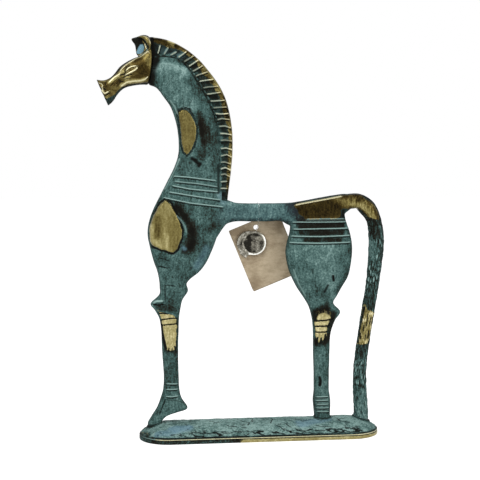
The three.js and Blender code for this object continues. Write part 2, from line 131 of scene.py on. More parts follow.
# Turns a closed skin so that the sum of its tetrahedra to the origin is positive: its faces then point out.
def outward(points, faces):
    a, b, c, d = (points[faces[0][:, k]] for k in (0, 1, 2, -1))
    volume = np.einsum("ij,ij->", a, np.cross(b, c)) + np.einsum("ij,ij->", a, np.cross(c, d))
    return points, faces if volume > 0 else [f[:, ::-1] for f in faces]


# Several skins as one list of points and one list of faces.
def gather(parts):
    shift = np.cumsum([0] + [len(p) for p, _ in parts])
    points = np.vstack([p for p, _ in parts])
    return points, [f + s for (_, faces), s in zip(parts, shift) for f in faces]


# Mean of the face normals round each vertex, each weighted by its area.
def normalsOf(points, faces):
    total = np.zeros_like(points)
    for f in faces:
        n = np.cross(points[f[:, 1]] - points[f[:, 0]], points[f[:, -1]] - points[f[:, 0]])
        for k, axis in np.ndindex(f.shape[1], 3):
            total[:, axis] += np.bincount(f[:, k], n[:, axis], len(points))
    return total / np.maximum(np.linalg.norm(total, axis=1), 1e-12)[:, None]


# The edges of quads, as pairs of vertices, in the direction in which each quad runs round.
def edgesOf(quads):
    return np.vstack([quads[:, [k, (k + 1) % 4]] for k in range(4)])


# Moves each vertex half of the way to the mean of its neighbours along edges, times over.
def relax(points, quads, times):
    ends = edgesOf(quads)
    count = np.maximum(np.bincount(ends[:, 0], minlength=len(points)), 1)[:, None]
    for _ in range(times):
        near = np.stack([np.bincount(ends[:, 0], points[ends[:, 1], a], len(points)) for a in range(3)], -1)
        points = (points + near / count) / 2
    return points


# A mesh of drawn points, with its faces in one list after another.
def meshOf(name, points, faces):
    mesh = bpy.data.meshes.new(name)
    mesh.from_pydata(inFrame(points).tolist(), [], sum((f.tolist() for f in faces), []))
    mesh.update()
    return mesh


# One closed skin over everything that the parts enclose, on a cubic lattice of the given pitch.
def fuse(parts, pitch, smoothing):
    loose = bpy.data.objects.new("fusing", meshOf("fusing", *gather(parts)))
    bpy.context.scene.collection.objects.link(loose)
    remesh = loose.modifiers.new("fuse", "REMESH")
    remesh.mode, remesh.voxel_size = "VOXEL", pitch * drawing["unit"]
    mesh = bpy.data.meshes.new_from_object(loose.evaluated_get(bpy.context.evaluated_depsgraph_get()))
    flat = np.empty(len(mesh.vertices) * 3)
    mesh.vertices.foreach_get("co", flat)
    loops = np.empty(len(mesh.loops), int)
    mesh.loops.foreach_get("vertex_index", loops)
    bpy.data.objects.remove(loose)
    quads = loops.reshape(-1, 4)
    return outward(relax(fromFrame(flat.reshape(-1, 3)), quads, smoothing), [quads])


# Fields over a piece, for relief and for colour

# Random numbers on a cubic lattice of the given size, blended with smooth steps, from -1 to 1.
def lumps(p, size, seed, draws=32):
    table = np.random.default_rng(seed).random((draws, draws, draws))
    q = np.asarray(p, float) / size
    base = np.floor(q).astype(int)
    f = soft(q - base)
    total = 0
    for corner in np.ndindex(2, 2, 2):
        w = np.prod([f[:, a] if corner[a] else 1 - f[:, a] for a in range(3)], axis=0)
        i, j, k = ((base + corner) % draws).T
        total = total + w * table[i, j, k]
    return total * 2 - 1


# Lumps as a dictionary gives them: height, size and seed.
def drift(p, kind):
    height, *layer = kind
    return height * lumps(p, *layer)


# Sum of lumps, each octave half the size and half the height of the one before.
def rough(p, size, seed, octaves=4):
    return sum(lumps(p, size / 2**k, seed + k) / 2**k for k in range(octaves)) / (2 - 2 ** (1 - octaves))


# Sum of rough layers, each given as its height and then rough's size, seed and octaves.
def uneven(p, layers):
    return sum(height * rough(p, *layer) for height, *layer in layers)


# Jittered cells in two dimensions: distance to the nearest and second nearest seed point, and a random
# number of the nearest cell. around is how many cells close a ring along the first coordinate.
def cells(uv, seed, around, draws=64, jitter=0.8):
    pick = np.random.default_rng(seed).random((draws, draws, 3))
    base = np.floor(uv).astype(int)
    first, second, own = np.full(len(uv), 9.0), np.full(len(uv), 9.0), np.zeros(len(uv))
    for i, j in np.ndindex(3, 3):
        c = base + (i - 1, j - 1)
        r = pick[c[:, 0] % around, c[:, 1] % draws]
        d = np.linalg.norm(c + (1 - jitter) / 2 + jitter * r[:, :2] - uv, axis=1)
        own = np.where(d < first, r[:, 2], own)
        second = np.where(d < first, first, np.minimum(second, d))
        first = np.minimum(first, d)
    return first, second, own


# Distance in the X-Z plane to a line of points, or to one point, and the side of the line: 1 or -1.
def toLine(xz, line):
    line = np.asarray(line, float)
    if len(line) == 1:
        return np.linalg.norm(xz - line[0], axis=1), np.ones(len(xz))
    best, side = np.full(len(xz), 1e9), np.ones(len(xz))
    for a, b in zip(line[:-1], line[1:]):
        s = np.clip(((xz - a) @ (b - a)) / ((b - a) @ (b - a)), 0, 1)
        away = xz - a - s[:, None] * (b - a)
        distance = np.linalg.norm(away, axis=1)
        turn = np.where((b - a)[0] * away[:, 1] > (b - a)[1] * away[:, 0], 1, -1)
        side = np.where(distance < best, turn, side)
        best = np.minimum(best, distance)
    return best, side


# Distance to an outline, positive inside it: inside where a ray along X crosses it an odd number of times.
def within(xz, outline):
    ring = np.vstack([outline, outline[:1]]).astype(float)
    inside = np.zeros(len(xz), bool)
    for a, b in zip(ring[:-1], ring[1:]):
        crosses = (a[1] > xz[:, 1]) != (b[1] > xz[:, 1])
        where = a[0] + (xz[:, 1] - a[1]) * (b[0] - a[0]) / (b[1] - a[1] if b[1] != a[1] else 1)
        inside ^= crosses & (xz[:, 0] < where)
    return np.where(inside, 1, -1) * toLine(xz, ring)[0]


marking = {
    # a stroke's tone and its relief reach some half widths and then some millimetres; far means no stroke
    "tone": (2.0, 0.7), "relief": (1.4, 0.3), "far": 9.0,
    # a wash ends a little past its width, by a share that wanders on lumps of this size
    "washPast": 1.15, "washWander": 0.25, "washSize": 5,
}


# The tones of a piece: how far each vertex is polished and how bright that is, how pale its patina is, how
# dark or blue it is, and how many half widths it lies from the nearest cut and the nearest ridge, and how
# strongly these show. The polish's brightness holds painted reflections and highlights, the dark holds
# painted shade as well as dark patina, and the ridges' pale lines are partly painted highlights.
class Tones:
    names = ("gold", "shine", "patina", "dark", "blue", "cutAcross", "cutShare", "lipAcross", "lipShare")

    def __init__(self, count, patina=0.5, shine=0.5):
        self.values = {n: np.zeros(count) for n in self.names}
        self.values["shine"][:] = shine
        self.values["patina"][:] = patina
        self.best = {family: np.full(count, marking["far"]) for family in ("cut", "lip")}

    def raiseTo(self, name, mask):
        self.values[name] = np.maximum(self.values[name], mask)

    def mixTo(self, mask, **colours):
        for name, value in colours.items():
            self.values[name] = self.values[name] * (1 - mask) + value * mask

    # Keeps a stroke where it is nearer than the strokes before it.
    def stroke(self, family, distance, side, width, strength):
        near = distance / width
        closer = near < self.best[family]
        self.best[family][closer] = near[closer]
        reach = width * marking["tone"][0] + marking["tone"][1]
        self.values[family + "Across"][closer] = (near * side)[closer]
        self.values[family + "Share"][closer] = (strength * fade(distance, reach, -reach / 2))[closer]


# Washes of tone: (line, width, tones), mixed in from the line out to the width, whose border wanders.
def wash(points, zones, tones, where=1.0, seed=11):
    xz, ripple = points[:, [0, 2]], rough(points, marking["washSize"], seed) * marking["washWander"]
    for line, width, colours in zones:
        mask = soft(marking["washPast"] - toLine(xz, line)[0] / width + ripple)
        tones.mixTo(mask * where, **colours)


# Works strokes into a piece: each is (family, line, half width, height, strength), and its family is cut or
# lip. Its relief is a smooth step from the line outwards; finishes draw the fine line itself, black for a cut
# and pale for a lip, which is partly a painted highlight.
def work(xz, strokes, tones, where=1.0):
    rise = np.zeros(len(xz))
    for family, line, width, height, strength in strokes:
        distance, side = toLine(xz, line)
        rise += soft(1 - distance / (width * marking["relief"][0] + marking["relief"][1])) * height
        tones.stroke(family, distance, side, width, strength * where)
    return rise * where


# Adds a piece to the scene: its mesh, its tones as attributes, its finish and what it stands for.
def addPiece(name, body, slot, points, faces, tones, *nodes):
    mesh = meshOf(name, points, faces)
    mesh.polygons.foreach_set("use_smooth", np.full(len(mesh.polygons), True))
    for key, values in (tones.values if tones else {}).items():
        low, high = (-4, 4) if key.endswith("Across") else (0, 1)
        held = np.clip(values, low, high).astype(np.float32)
        mesh.attributes.new(key, "FLOAT", "POINT").data.foreach_set("value", held)
    mesh.materials.append(finishes[slot])
    piece = bpy.data.objects.new(name, mesh)
    bpy.context.scene.collection.objects.link(piece)
    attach(piece, body)
    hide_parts(*nodes)
    print(name, len(points), "vertices,", sum(len(f) * (f.shape[1] - 2) for f in faces), "triangles")
    return piece


# Finishes

# A socket as a value: each operator adds one Math node, so masks are written as arithmetic.
class Signal:
    def __init__(self, finish, socket):
        self.finish, self.socket = finish, socket

    def math(self, operation, first, second=0.0, clamp=False):
        settings = {"operation": operation, "use_clamp": clamp}
        return self.finish.node("ShaderNodeMath", settings, {0: first, 1: second})[0]

    def __add__(self, other):
        return self.math("ADD", self, other)

    def __sub__(self, other):
        return self.math("SUBTRACT", self, other)

    def __rsub__(self, other):
        return self.math("SUBTRACT", other, self)

    def __mul__(self, other):
        return self.math("MULTIPLY", self, other)

    def __abs__(self):
        return self.math("ABSOLUTE", self)

    def held(self):
        return self.math("ADD", self, clamp=True)

    __radd__ = __add__
    __rmul__ = __mul__


# An eight-bit colour as the linear light that a shader works in.
def tint(r, g, b):
    c = np.array([r, g, b]) / 255
    return (*np.where(c > 0.04045, ((c + 0.055) / 1.055) ** 2.4, c / 12.92).tolist(), 1.0)


# The nodes of a material or of the world.
class Finish:
    def __init__(self, owner):
        self.owner = owner
        owner.use_nodes = True
        self.tree = owner.node_tree
        self.tree.nodes.clear()

    def node(self, kind, settings=None, inputs=None):
        made = self.tree.nodes.new(kind)
        settings = dict(settings or {})
        stops = settings.pop("stops", None)
        for key, value in settings.items():
            setattr(made, key, value)
        if stops:
            band = made.color_ramp.elements
            while len(band) < len(stops):
                band.new(0.5)
            for element, (at, colour) in zip(band, stops):
                element.position, element.color = at, colour
        for key, value in (inputs or {}).items():
            if isinstance(value, Signal):
                self.tree.links.new(value.socket, made.inputs[key])
            else:
                made.inputs[key].default_value = value
        return [Signal(self, s) for s in made.outputs]

    # Fractal noise from -0.5 to 0.5, whose largest lumps are about size millimetres, stretched along each
    # axis. shift moves it, so that two noises of a finish differ.
    def noise(self, size, detail, roughness, shift=0.0, stretch=(1, 1, 1)):
        scale = [1 / (drawing["unit"] * size * s) for s in stretch]
        place = self.node("ShaderNodeTexCoord")[3]
        moved = self.node("ShaderNodeMapping", None, {0: place, 1: (shift, shift, shift), 3: scale})[0]
        inputs = {"Vector": moved, "Scale": 1.0, "Detail": detail, "Roughness": roughness}
        return self.node("ShaderNodeTexNoise", None, inputs)[0] - 0.5

    def mark(self, name):
        return self.node("ShaderNodeAttribute", {"attribute_name": name})[2]

    def mix(self, share, first, second):
        return self.node("ShaderNodeMix", {"data_type": "RGBA"}, {0: share, 6: first, 7: second})[2]

    def step(self, value, low, high):
        settings = {"interpolation_type": "SMOOTHSTEP"}
        return self.node("ShaderNodeMapRange", settings, {0: value, 1: low, 2: high, 3: 0.0, 4: 1.0})[0]

    def ramp(self, value, stops):
        return self.node("ShaderNodeValToRGB", {"stops": [(at, tint(*c)) for at, c in stops]}, {0: value})[0]

    def bump(self, height, distance):
        return self.node("ShaderNodeBump", None, {"Height": height, "Distance": distance * drawing["unit"]})[0]

    def close(self, inputs):
        shader = self.node("ShaderNodeBsdfPrincipled", None, inputs)[0]
        self.node("ShaderNodeOutputMaterial", None, {0: shader})
        return self.owner


# Cast bronze. The patina level, moved by mottling, brushing and grain, picks a tone from brown-black
# through teal to pale verdigris; the shine level picks one of polished metal, its own tone with painted
# reflections. The dark mark turns it black, as dark patina and as painted shade. Cuts and ridges are lines
# whose edges the grain frays: cuts are black, partly painted shadow, and ridges pale, partly painted highlight.
def bronze(name, look):
    f = Finish(bpy.data.materials.new(name))
    gold, shine, patina, dark, blue, cutAcross, cutShare, lipAcross, lipShare = (f.mark(n) for n in Tones.names)
    cloud = f.noise(look["cloud"], *look["cloudNoise"])
    brushed = f.noise(look["brush"], *look["brushNoise"], look["brushed"])
    grain = f.noise(look["grain"], *look["grainNoise"])

    def frayed(edge):
        return grain * look[edge][0] + brushed * look[edge][1]

    level = patina + cloud * look["mottle"] + brushed * look["streaks"] + grain * look["flecks"]
    green = f.ramp(level.held(), look["patina"])
    green = f.mix(blue * (cloud + look["blueHold"]).held(), green, tint(*look["blue"]))
    metal = shine + cloud * look["goldMottle"] + brushed * look["brushing"] + grain * look["goldFlecks"]
    polish = f.step(gold + frayed("goldFray"), *look["goldEdge"])
    colour = f.mix(polish, green, f.ramp(metal.held(), look["metal"]))
    colour = f.mix(f.step(dark + frayed("blackPatinaAndShadeFray"), *look["blackPatinaAndShadeEdge"]), colour, tint(*look["blackPatinaAndShade"]))
    fray = frayed("lineFray")
    cut = (1 - f.step(abs(cutAcross) + fray, *look["cutEdge"])) * cutShare
    lip = (1 - f.step(abs(lipAcross) + fray, *look["lipEdge"])) * lipShare
    colour = f.mix(cut, colour, tint(*look["blackPatinaAndShade"]))
    colour = f.mix(lip, colour, f.mix(polish, tint(*look["paleLip"]), tint(*look["brightLip"])))
    height = frayed("skinRise") + cloud * look["cloudRise"] - cut * look["cutDrop"] + lip * look["lipRise"]
    return f.close({
        "Base Color": colour,
        "Metallic": polish * (1 - cut) * look["metallic"],
        "Roughness": look["matte"] + grain * look["matteGrain"] - polish * look["gloss"],
        "Specular IOR Level": look["specular"],
        "Normal": f.bump(height, look["bump"]),
    })


castLook = {
    # size of each noise in millimetres, and its detail, roughness and shift
    "cloud": 8.0, "cloudNoise": (4.0, 0.6), "brush": 1.3, "brushNoise": (4.0, 0.65, 3.1), "brushed": (1, 1, 4),
    "grain": 0.95, "grainNoise": (4.0, 0.7, 7.7),
    # how much each noise moves the patina's level and the metal's brightness
    "mottle": 0.7, "streaks": 0.75, "flecks": 1.3, "goldMottle": 0.22, "brushing": 0.45, "goldFlecks": 0.5,
    # where a border begins and ends, and how grain and brushing fray it
    "goldEdge": (0.38, 0.56), "goldFray": (0.7, 0.9), "blackPatinaAndShadeEdge": (0.1, 1.0), "blackPatinaAndShadeFray": (0.8, 0.3),
    "cutEdge": (0.55, 1.25), "lipEdge": (0.5, 1.2), "lineFray": (1.6, 0.6),
    # relief of grain and brushing, clouds, cuts and ridges, and its height in millimetres
    "skinRise": (0.8, 0.4), "cloudRise": 0.4, "cutDrop": 0.9, "lipRise": 0.7, "bump": 0.16,
    "metallic": 0.8, "matte": 0.62, "matteGrain": 0.3, "gloss": 0.28, "specular": 0.05,
    # black of dark patina and of painted shade, blue patina, and the pale and bright ridge lines, partly painted
    # highlights
    "blackPatinaAndShade": (11, 11, 8), "blue": (104, 140, 164), "blueHold": 0.8, "paleLip": (152, 182, 176),
    "brightLip": (208, 202, 164),
    # ramps of the patina and of the polished metal; the metal's dark and bright ends stand for its own tone and for
    # painted reflections
    "patina": [(0.0, (17, 15, 10)), (0.18, (32, 32, 25)), (0.34, (42, 58, 54)), (0.52, (62, 89, 86)),
               (0.76, (93, 122, 118)), (1.0, (138, 167, 162))],
    "metal": [(0.0, (22, 17, 8)), (0.25, (64, 53, 24)), (0.5, (114, 104, 61)), (0.7, (148, 139, 94)),
              (0.86, (200, 190, 145)), (1.0, (238, 232, 200))],
}
# what the castings differ in: slot, material and the values of their own
castings = [
    ("patina_bronze", "patina_bronze", {}),
    ("polished_bronze", "polished_bronze", {
        "blue": (128, 170, 190), "cloud": 5.0, "brushed": (1.5, 1, 1.5), "mottle": 0.6, "bump": 0.1}),
    ("mane_bronze", "mane_bronze", {"cloud": 5.0, "brushed": (1, 1, 1), "brush": 1.2, "paleLip": (176, 184, 164)}),
    ("tail_bronze", "tail_bronze", {
        "cloud": 9.0, "brush": 0.8, "brushed": (1, 1, 5), "mottle": 0.45, "streaks": 2.0, "brushing": 1.4}),
    ("base_bronze", "base_bronze", {
        "cloud": 9.0, "brushed": (2.5, 1, 1), "mottle": 1.0, "streaks": 0.9, "flecks": 1.6, "bump": 0.3}),
    ("braze", "braze_bronze", {"cloud": 4.0, "brushed": (1, 1, 1)}),
]
finishes = {slot: bronze(name, {**castLook, **own}) for slot, name, own in castings}

cardLook = {
    "cloud": (14.0, 3.0, 0.5), "fibre": (1.6, 5.0, 0.65, 2.0, (2.2, 1, 1)), "fleck": (0.35, 2.0, 0.5, 5.0),
    "level": 0.53, "mottle": 1.1, "fibres": 0.5, "flecks": 0.3, "shade": 0.55,
    "matte": 0.7, "matteFibre": 0.2, "specular": 0.25, "rise": 0.6, "bump": 0.04,
    "tones": [(0.0, (104, 88, 70)), (0.35, (156, 138, 112)), (0.6, (194, 177, 149)), (1.0, (216, 200, 174))],
}


# Card: a brown level moved by clouds, by fibres drawn out along its width and by flecks.
def cardFinish(look):
    f = Finish(bpy.data.materials.new("tag_card"))
    cloud, fibre, fleck = (f.noise(*look[name]) for name in ("cloud", "fibre", "fleck"))
    tone = cloud * look["mottle"] + fibre * look["fibres"] + fleck * look["flecks"] + look["level"]
    return f.close({
        "Base Color": f.ramp((tone - f.mark("dark") * look["shade"]).held(), look["tones"]),
        "Roughness": fibre * look["matteFibre"] + look["matte"],
        "Specular IOR Level": look["specular"],
        "Normal": f.bump((fibre + fleck) * look["rise"], look["bump"]),
    })


tinLook = {
    "cloud": (2.4, 4.0, 0.6), "grain": (0.7, 3.0, 0.6, 4.0), "mottle": 0.9, "flecks": 0.9, "shade": 0.5,
    "metallic": 0.85, "matte": 0.3, "matteCloud": 0.25, "grainRise": 0.4, "bump": 0.12,
    "tones": [(0.0, (26, 24, 18)), (0.36, (112, 109, 98)), (0.62, (178, 175, 164)), (1.0, (240, 240, 234))],
}


# Tin: a grey level from the shine, which holds a painted highlight, moved by clouds and grain and lowered by the
# dark: in the dents and in painted shade.
def tinFinish(look):
    f = Finish(bpy.data.materials.new("seal_tin"))
    cloud, grain = f.noise(*look["cloud"]), f.noise(*look["grain"])
    tone = f.mark("shine") + cloud * look["mottle"] + grain * look["flecks"] - f.mark("dark") * look["shade"]
    return f.close({
        "Base Color": f.ramp(tone.held(), look["tones"]),
        "Metallic": look["metallic"],
        "Roughness": cloud * look["matteCloud"] + look["matte"],
        "Normal": f.bump(cloud + grain * look["grainRise"], look["bump"]),
    })


nylonLook = {
    "waver": (2.0, 2.0, 0.5), "clear": (226, 232, 232), "bright": (250, 252, 252),
    "matte": 0.04, "matteWaver": 0.1, "bend": 1.33, "alpha": 0.4,
}


# Clear nylon: light goes through it, and its haze wavers.
def nylonFinish(look):
    f = Finish(bpy.data.materials.new("clear_thread"))
    waver = f.noise(*look["waver"]) + 0.5
    return f.close({
        "Base Color": f.mix(waver, tint(*look["clear"]), tint(*look["bright"])),
        "Roughness": waver * look["matteWaver"] + look["matte"],
        "Transmission Weight": 1.0,
        "IOR": look["bend"],
        "Alpha": look["alpha"],
    })


finishes.update(tag_card=cardFinish(cardLook), seal_tin=tinFinish(tinLook), clear_thread=nylonFinish(nylonLook))
print(len(finishes), "finishes made")

# Body: neck, chest, foreleg, back bar, haunch and hind leg

crevice = {"dark": 0.9, "gold": 0.1}
body = {
    "pitch": 0.36, "smoothing": 4, "roundness": 3.0, "sides": 72, "ringsPerSpan": 6,
    # where masks begin, and how far they take to reach their end: on the part of a normal along Y for the
    # flat faces and the narrow edges, and on X or Z for the rest
    "face": (0.25, 0.5), "edge": (0.66, -0.4), "leftEdge": (0.5, -1.0), "rightEdge": (-0.6, 1.0),
    "underEdge": (1.25, -1.25), "neckTop": (188, 10), "neckTopRight": (0, 0.5), "rumpTop": (26, 6),
    # how far the left edges take a paler patina, a painted light, how dark all edges are, as painted shade, and those
    # on the right and the rump
    "leftShare": 0.8, "leftLitPatina": 0.5, "edgeShade": 0.4, "rightEdgeShade": 0.3, "rumpEdgeShade": 0.85, "neckTopLess": 0.8,
    # layers of the cast skin: height, size, seed and octaves
    "skin": [(0.14, 7, 41), (0.05, 1.7, 47, 3)],
    "fore": [
        [-54.7, 198.4, -52.2, 217.0, 9], [-50.4, 196.7, -46.5, 217.5, 9], [-46.2, 191.3, -36.8, 216.0, 9],
        [-42.3, 185.7, -29.8, 209.0, 9], [-39.9, 179.4, -24.0, 200.5, 9], [-38.3, 172.0, -18.6, 190.8, 9],
        [-37.7, 164.5, -14.8, 181.5, 9], [-38.2, 157.3, -12.4, 170.0, 9.5], [-40.3, 151.0, -11.9, 157.5, 10],
        [-43.5, 144.5, -11.9, 146.5, 10.6], [-48.3, 135.2, -12.0, 136.5, 11.6], [-53.0, 125.8, -12.4, 127.5, 12.8],
        [-55.6, 118.0, -12.0, 117.5, 13.7], [-56.3, 111.8, -14.8, 111.5, 14], [-55.0, 104.5, -17.4, 104.3, 14],
        [-52.6, 95.2, -21.7, 94.9, 13.2], [-50.9, 90.5, -26.0, 89.2, 12.4], [-49.6, 84.6, -31.7, 84.7, 10.8],
        [-49.3, 80.6, -33.5, 82.2, 10.4], [-49.4, 76.2, -32.6, 78.2, 10], [-54.8, 70.4, -36.0, 72.6, 10],
        [-52.6, 67.2, -37.2, 67.5, 10], [-49.8, 62.0, -38.0, 62.0, 9.4], [-48.6, 54.5, -38.3, 54.5, 8.5],
        [-48.0, 42.0, -38.6, 41.0, 8.5], [-47.2, 26.0, -38.3, 26.5, 8.5], [-47.6, 19.3, -38.0, 19.5, 8.5],
        [-49.2, 13.9, -36.7, 14.1, 8.8], [-51.5, 8.2, -33.1, 7.8, 9], [-53.7, 4.8, -38.5, 5.9, 8.5],
        [-55.1, 2.4, -45.4, 3.5, 8.2], [-56.6, 0, -49.0, -0.2, 8], [-57.0, -2, -50.3, -2, 8],
    ],
    "hind": [
        [29.0, 124.5, 60.5, 126.5, 11.5], [28.6, 118.5, 61.7, 119.5, 12], [28.0, 112.0, 64.1, 112.5, 13],
        [26.4, 105.6, 65.5, 106.1, 14], [25.6, 100.0, 65.8, 100.0, 14], [26.5, 94.0, 65.1, 93.3, 14],
        [28.4, 87.3, 63.4, 85.5, 13.5], [32.4, 79.2, 59.9, 79.4, 12], [37.0, 72.3, 56.5, 73.5, 10.5],
        [39.7, 67.6, 54.4, 69.6, 10], [41.0, 63.3, 58.8, 64.0, 9.4], [42.0, 58.5, 55.7, 59.1, 9],
        [42.5, 51.5, 53.1, 51.5, 8.6], [42.6, 40.5, 52.4, 40.5, 8.6], [43.1, 24.5, 52.1, 24.5, 8.6],
        [43.1, 16.5, 52.2, 16.5, 8.6], [42.6, 10.5, 53.0, 11.0, 9], [43.3, 3.1, 52.9, 2.8, 9],
        [43.6, -2, 53.0, -2, 9],
    ],
    "back": [
        [-16, 132.2, -16, 108.7, 11], [-9.4, 131.5, -10.2, 116.9, 8.8], [-7.4, 130.8, -7.6, 118.1, 8.4],
        [-4.2, 129.8, -4.2, 118.7, 8], [4.3, 129.4, 4.3, 118.7, 8], [16.2, 129.4, 16.2, 118.7, 8],
        [23.0, 129.4, 22.6, 118.7, 8.5], [28.2, 129.6, 27.4, 116.3, 10], [34.2, 130.4, 34.5, 114.7, 11],
        [46.3, 132.5, 46.5, 115.7, 11.5], [56.0, 134.1, 56.0, 118.7, 11], [61.2, 134.7, 62.0, 123.7, 9.8],
        [64.6, 134.4, 66.0, 126.6, 7.8],
    ],
    # what shows at the bottom of the groove behind the head
    "core": [
        [-56.9, 199.4, -52.0, 199.2, 6], [-56.9, 202.0, -50.5, 202.0, 6.5], [-56.0, 214, -49.5, 214, 6.5],
        [-55.6, 221, -50.0, 221, 6], [-55.2, 224.8, -50.5, 224.6, 5.5], [-54.5, 225.9, -51.0, 225.7, 4.5],
    ],
    # polished fields: outline, brightness, which stands for the metal's tone with its painted reflection, how soft
    # and how ragged the border is, how far the face is ground flat, and how strong the black line round it is
    "fields": {
        "throat": {
            "shine": 0.43, "fade": 0.6, "ragged": 0.25, "flat": 5.15, "rim": 0.8,
            "outline": [
                (-38.1, 183.1), (-36.4, 183.7), (-33.5, 184.0), (-32.3, 183.4), (-31.4, 181.9), (-30.0, 179.1),
                (-28.8, 176.8), (-28.0, 173.6), (-27.9, 170.1), (-28.6, 166.1), (-30.0, 162.6), (-31.8, 159.7),
                (-33.5, 158.5), (-35.0, 160.0), (-35.9, 163.7), (-36.4, 167.8), (-36.7, 171.8), (-37.3, 175.9),
                (-37.8, 179.9),
            ],
        },
        "chest": {
            "shine": 0.57, "fade": 0.6, "ragged": 0.3, "flat": 7.55, "rim": 1.0,
            "outline": [
                (-45.3, 132.0), (-43.0, 129.6), (-41.0, 125.7), (-39.1, 121.8), (-37.4, 117.9), (-36.7, 114.0),
                (-36.8, 110.1), (-38.6, 105.7), (-39.4, 103.3), (-41.6, 101.5), (-44.1, 101.9), (-46.2, 102.7),
                (-48.4, 103.2), (-50.8, 104.2), (-54.0, 105.7), (-55.0, 107.9), (-55.5, 111.7), (-55.3, 114.6),
                (-54.5, 118.5), (-52.6, 123.3), (-50.7, 126.7), (-48.7, 129.6), (-46.8, 131.3),
            ],
        },
        "rump": {
            "shine": 0.13, "fade": 3.0, "ragged": 0.8, "flat": 0, "rim": 0,
            "outline": [
                (30.2, 129.6), (34.6, 130.6), (49.6, 133.4), (58.2, 136.0), (68.0, 137.0), (68.0, 124.6),
                (62.6, 125.4), (59.1, 126.4), (57.5, 125.2), (57.8, 120.8), (36.4, 120.4), (33.5, 123.4),
                (31.5, 126.4),
            ],
        },
        "knee": {
            "shine": 0.72, "fade": 0.9, "ragged": 0.4, "flat": 0, "rim": 0,
            "outline": [
                (-51.1, 67.8), (-49.6, 66.5), (-47.2, 66.1), (-45.1, 65.0), (-41.8, 64.3), (-40.8, 63.3),
                (-39.8, 61.6), (-39.7, 56.6), (-40.0, 52.4), (-40.0, 46.2), (-40.6, 43.6), (-42.2, 42.8),
                (-44.0, 43.1), (-45.4, 43.6), (-46.3, 47.4), (-47.2, 51.6), (-47.8, 54.7), (-48.0, 57.8),
                (-48.6, 60.5), (-49.4, 63.4), (-50.0, 65.5),
            ],
        },
        "hock": {
            "shine": 0.76, "fade": 1.4, "ragged": 0.7, "flat": 0, "rim": 0,
            "outline": [
                (46.8, 65.2), (49.9, 65.2), (50.7, 63.0), (52.6, 60.9), (52.1, 59.4), (51.3, 57.1), (50.4, 54.4),
                (49.8, 52.5), (50.0, 50.0), (49.2, 49.1), (47.7, 47.2), (46.1, 48.2), (45.0, 45.9), (44.4, 46.8),
                (43.2, 50.7), (43.0, 52.6), (42.8, 55.5), (42.6, 58.4), (43.8, 60.3), (45.3, 62.8),
            ],
        },
    },
    "zones": [
        # painted light over the neck: paler over its upper part and darker along its right side
        ([(-48, 209), (-38, 201), (-30, 189), (-26, 180)], 18, {"patina": 0.7}),
        ([(-30, 201), (-22, 190), (-18, 176), (-16.5, 150)], 6, {"patina": 0.42}),
        ([(-35, 163), (-31, 151), (-22, 150)], 10, {"patina": 0.52}),
        # painted shade in the groove behind the head
        ([(-53.5, 224), (-51.8, 212), (-55.0, 198)], 4.6, {"patina": 0.06, "dark": 0.85}),
        # painted shade under the mane's seat, and a pale band below it along the top of the neck, a painted highlight
        ([(-49.5, 219), (-41, 217.2), (-33.5, 211.5)], 3.5, {"patina": 0.3}),
        ([(-51.5, 206.6), (-47, 210.2), (-42, 209.4), (-35.5, 206.4)], 3.0, {"patina": 0.86}),
        ([(-43, 140), (-30, 139), (-16, 137)], 11, {"patina": 0.56}),
        ([(-31, 124), (-22, 121), (-13, 116)], 13, {"patina": 0.52}),
        ([(-25.5, 103), (-22.8, 112), (-15.5, 117)], 4, {"patina": 0.36}),
        ([(-27.6, 93), (-24.5, 98), (-21.8, 103)], 3.4, {"patina": 0.62, "blue": 0.25}),
        ([(-44, 98), (-40, 88), (-40, 80)], 13, {"patina": 0.52}),
        ([(-42, 74), (-44, 71)], 7, {"patina": 0.4}),
        ([(-43.5, 40), (-43, 28), (-43, 18)], 9, {"patina": 0.45}),
        ([(-42, 13), (-47, 6), (-52, 0)], 10, {"patina": 0.57}),
        # painted shade in the hollow right of the throat field
        ([(-25.6, 181), (-23.6, 174.7), (-22.2, 169.5), (-21.8, 164.9), (-24.0, 158)], 4.6, {"patina": 0.2}),
        ([(-25.2, 177), (-24.2, 172), (-23.6, 165)], 2.2, {"patina": 0.04, "dark": 0.4}),
        # painted shade in the hollows right of the chest field, with a paler strip on the ridge between them
        ([(-38.6, 127.6), (-35.7, 122.7), (-32.3, 116.4), (-30.9, 112.0), (-30.9, 107.6), (-32.4, 103.7)], 5.2,
            {"patina": 0.08, "dark": 0.1}),
        ([(-39.6, 128.4), (-36.6, 124.4), (-33.4, 119.4)], 2.6, {"dark": 0.7}),
        ([(-30.8, 114.0), (-30.2, 108.5), (-31.4, 104.0)], 2.8, {"dark": 0.7}),
        ([(-38.0, 121.0), (-36.0, 118.4), (-34.6, 115.2), (-34.3, 112.4)], 1.7, {"patina": 0.5, "dark": 0.0}),
        ([(-35.9, 104.2), (-34.9, 103.4)], 1.6, {"patina": 0.6, "blue": 0.4}),
        ([(-13.4, 134.0), (-11.7, 130.6)], 3.0, {"patina": 0.85, "blue": 0.3}),
        ([(-14.9, 152), (-14.9, 136)], 1.5, {"dark": 0.7}),
        ([(-30.2, 155.7), (-28.2, 154.7)], 2.2, {"dark": 1.0}),
        ([(-28.4, 154.6), (-27.2, 153.2), (-25.6, 152.8), (-26.4, 151.8)], 1.5, {"dark": 1.0}),
        ([(-6, 124), (8, 124), (24, 124)], 12, {"patina": 0.57, "blue": 0.1}),
        ([(-8, 129.6), (10, 129.2), (24, 129.4)], 2.6, {"patina": 0.72}),
        # darker along the bar's bottom: painted shade
        ([(-6, 119), (12, 118.6), (26, 118.2)], 2.8, {"patina": 0.3}),
        ([(28.5, 129), (31, 125), (34, 121)], 6.0, {"patina": 0.1}),
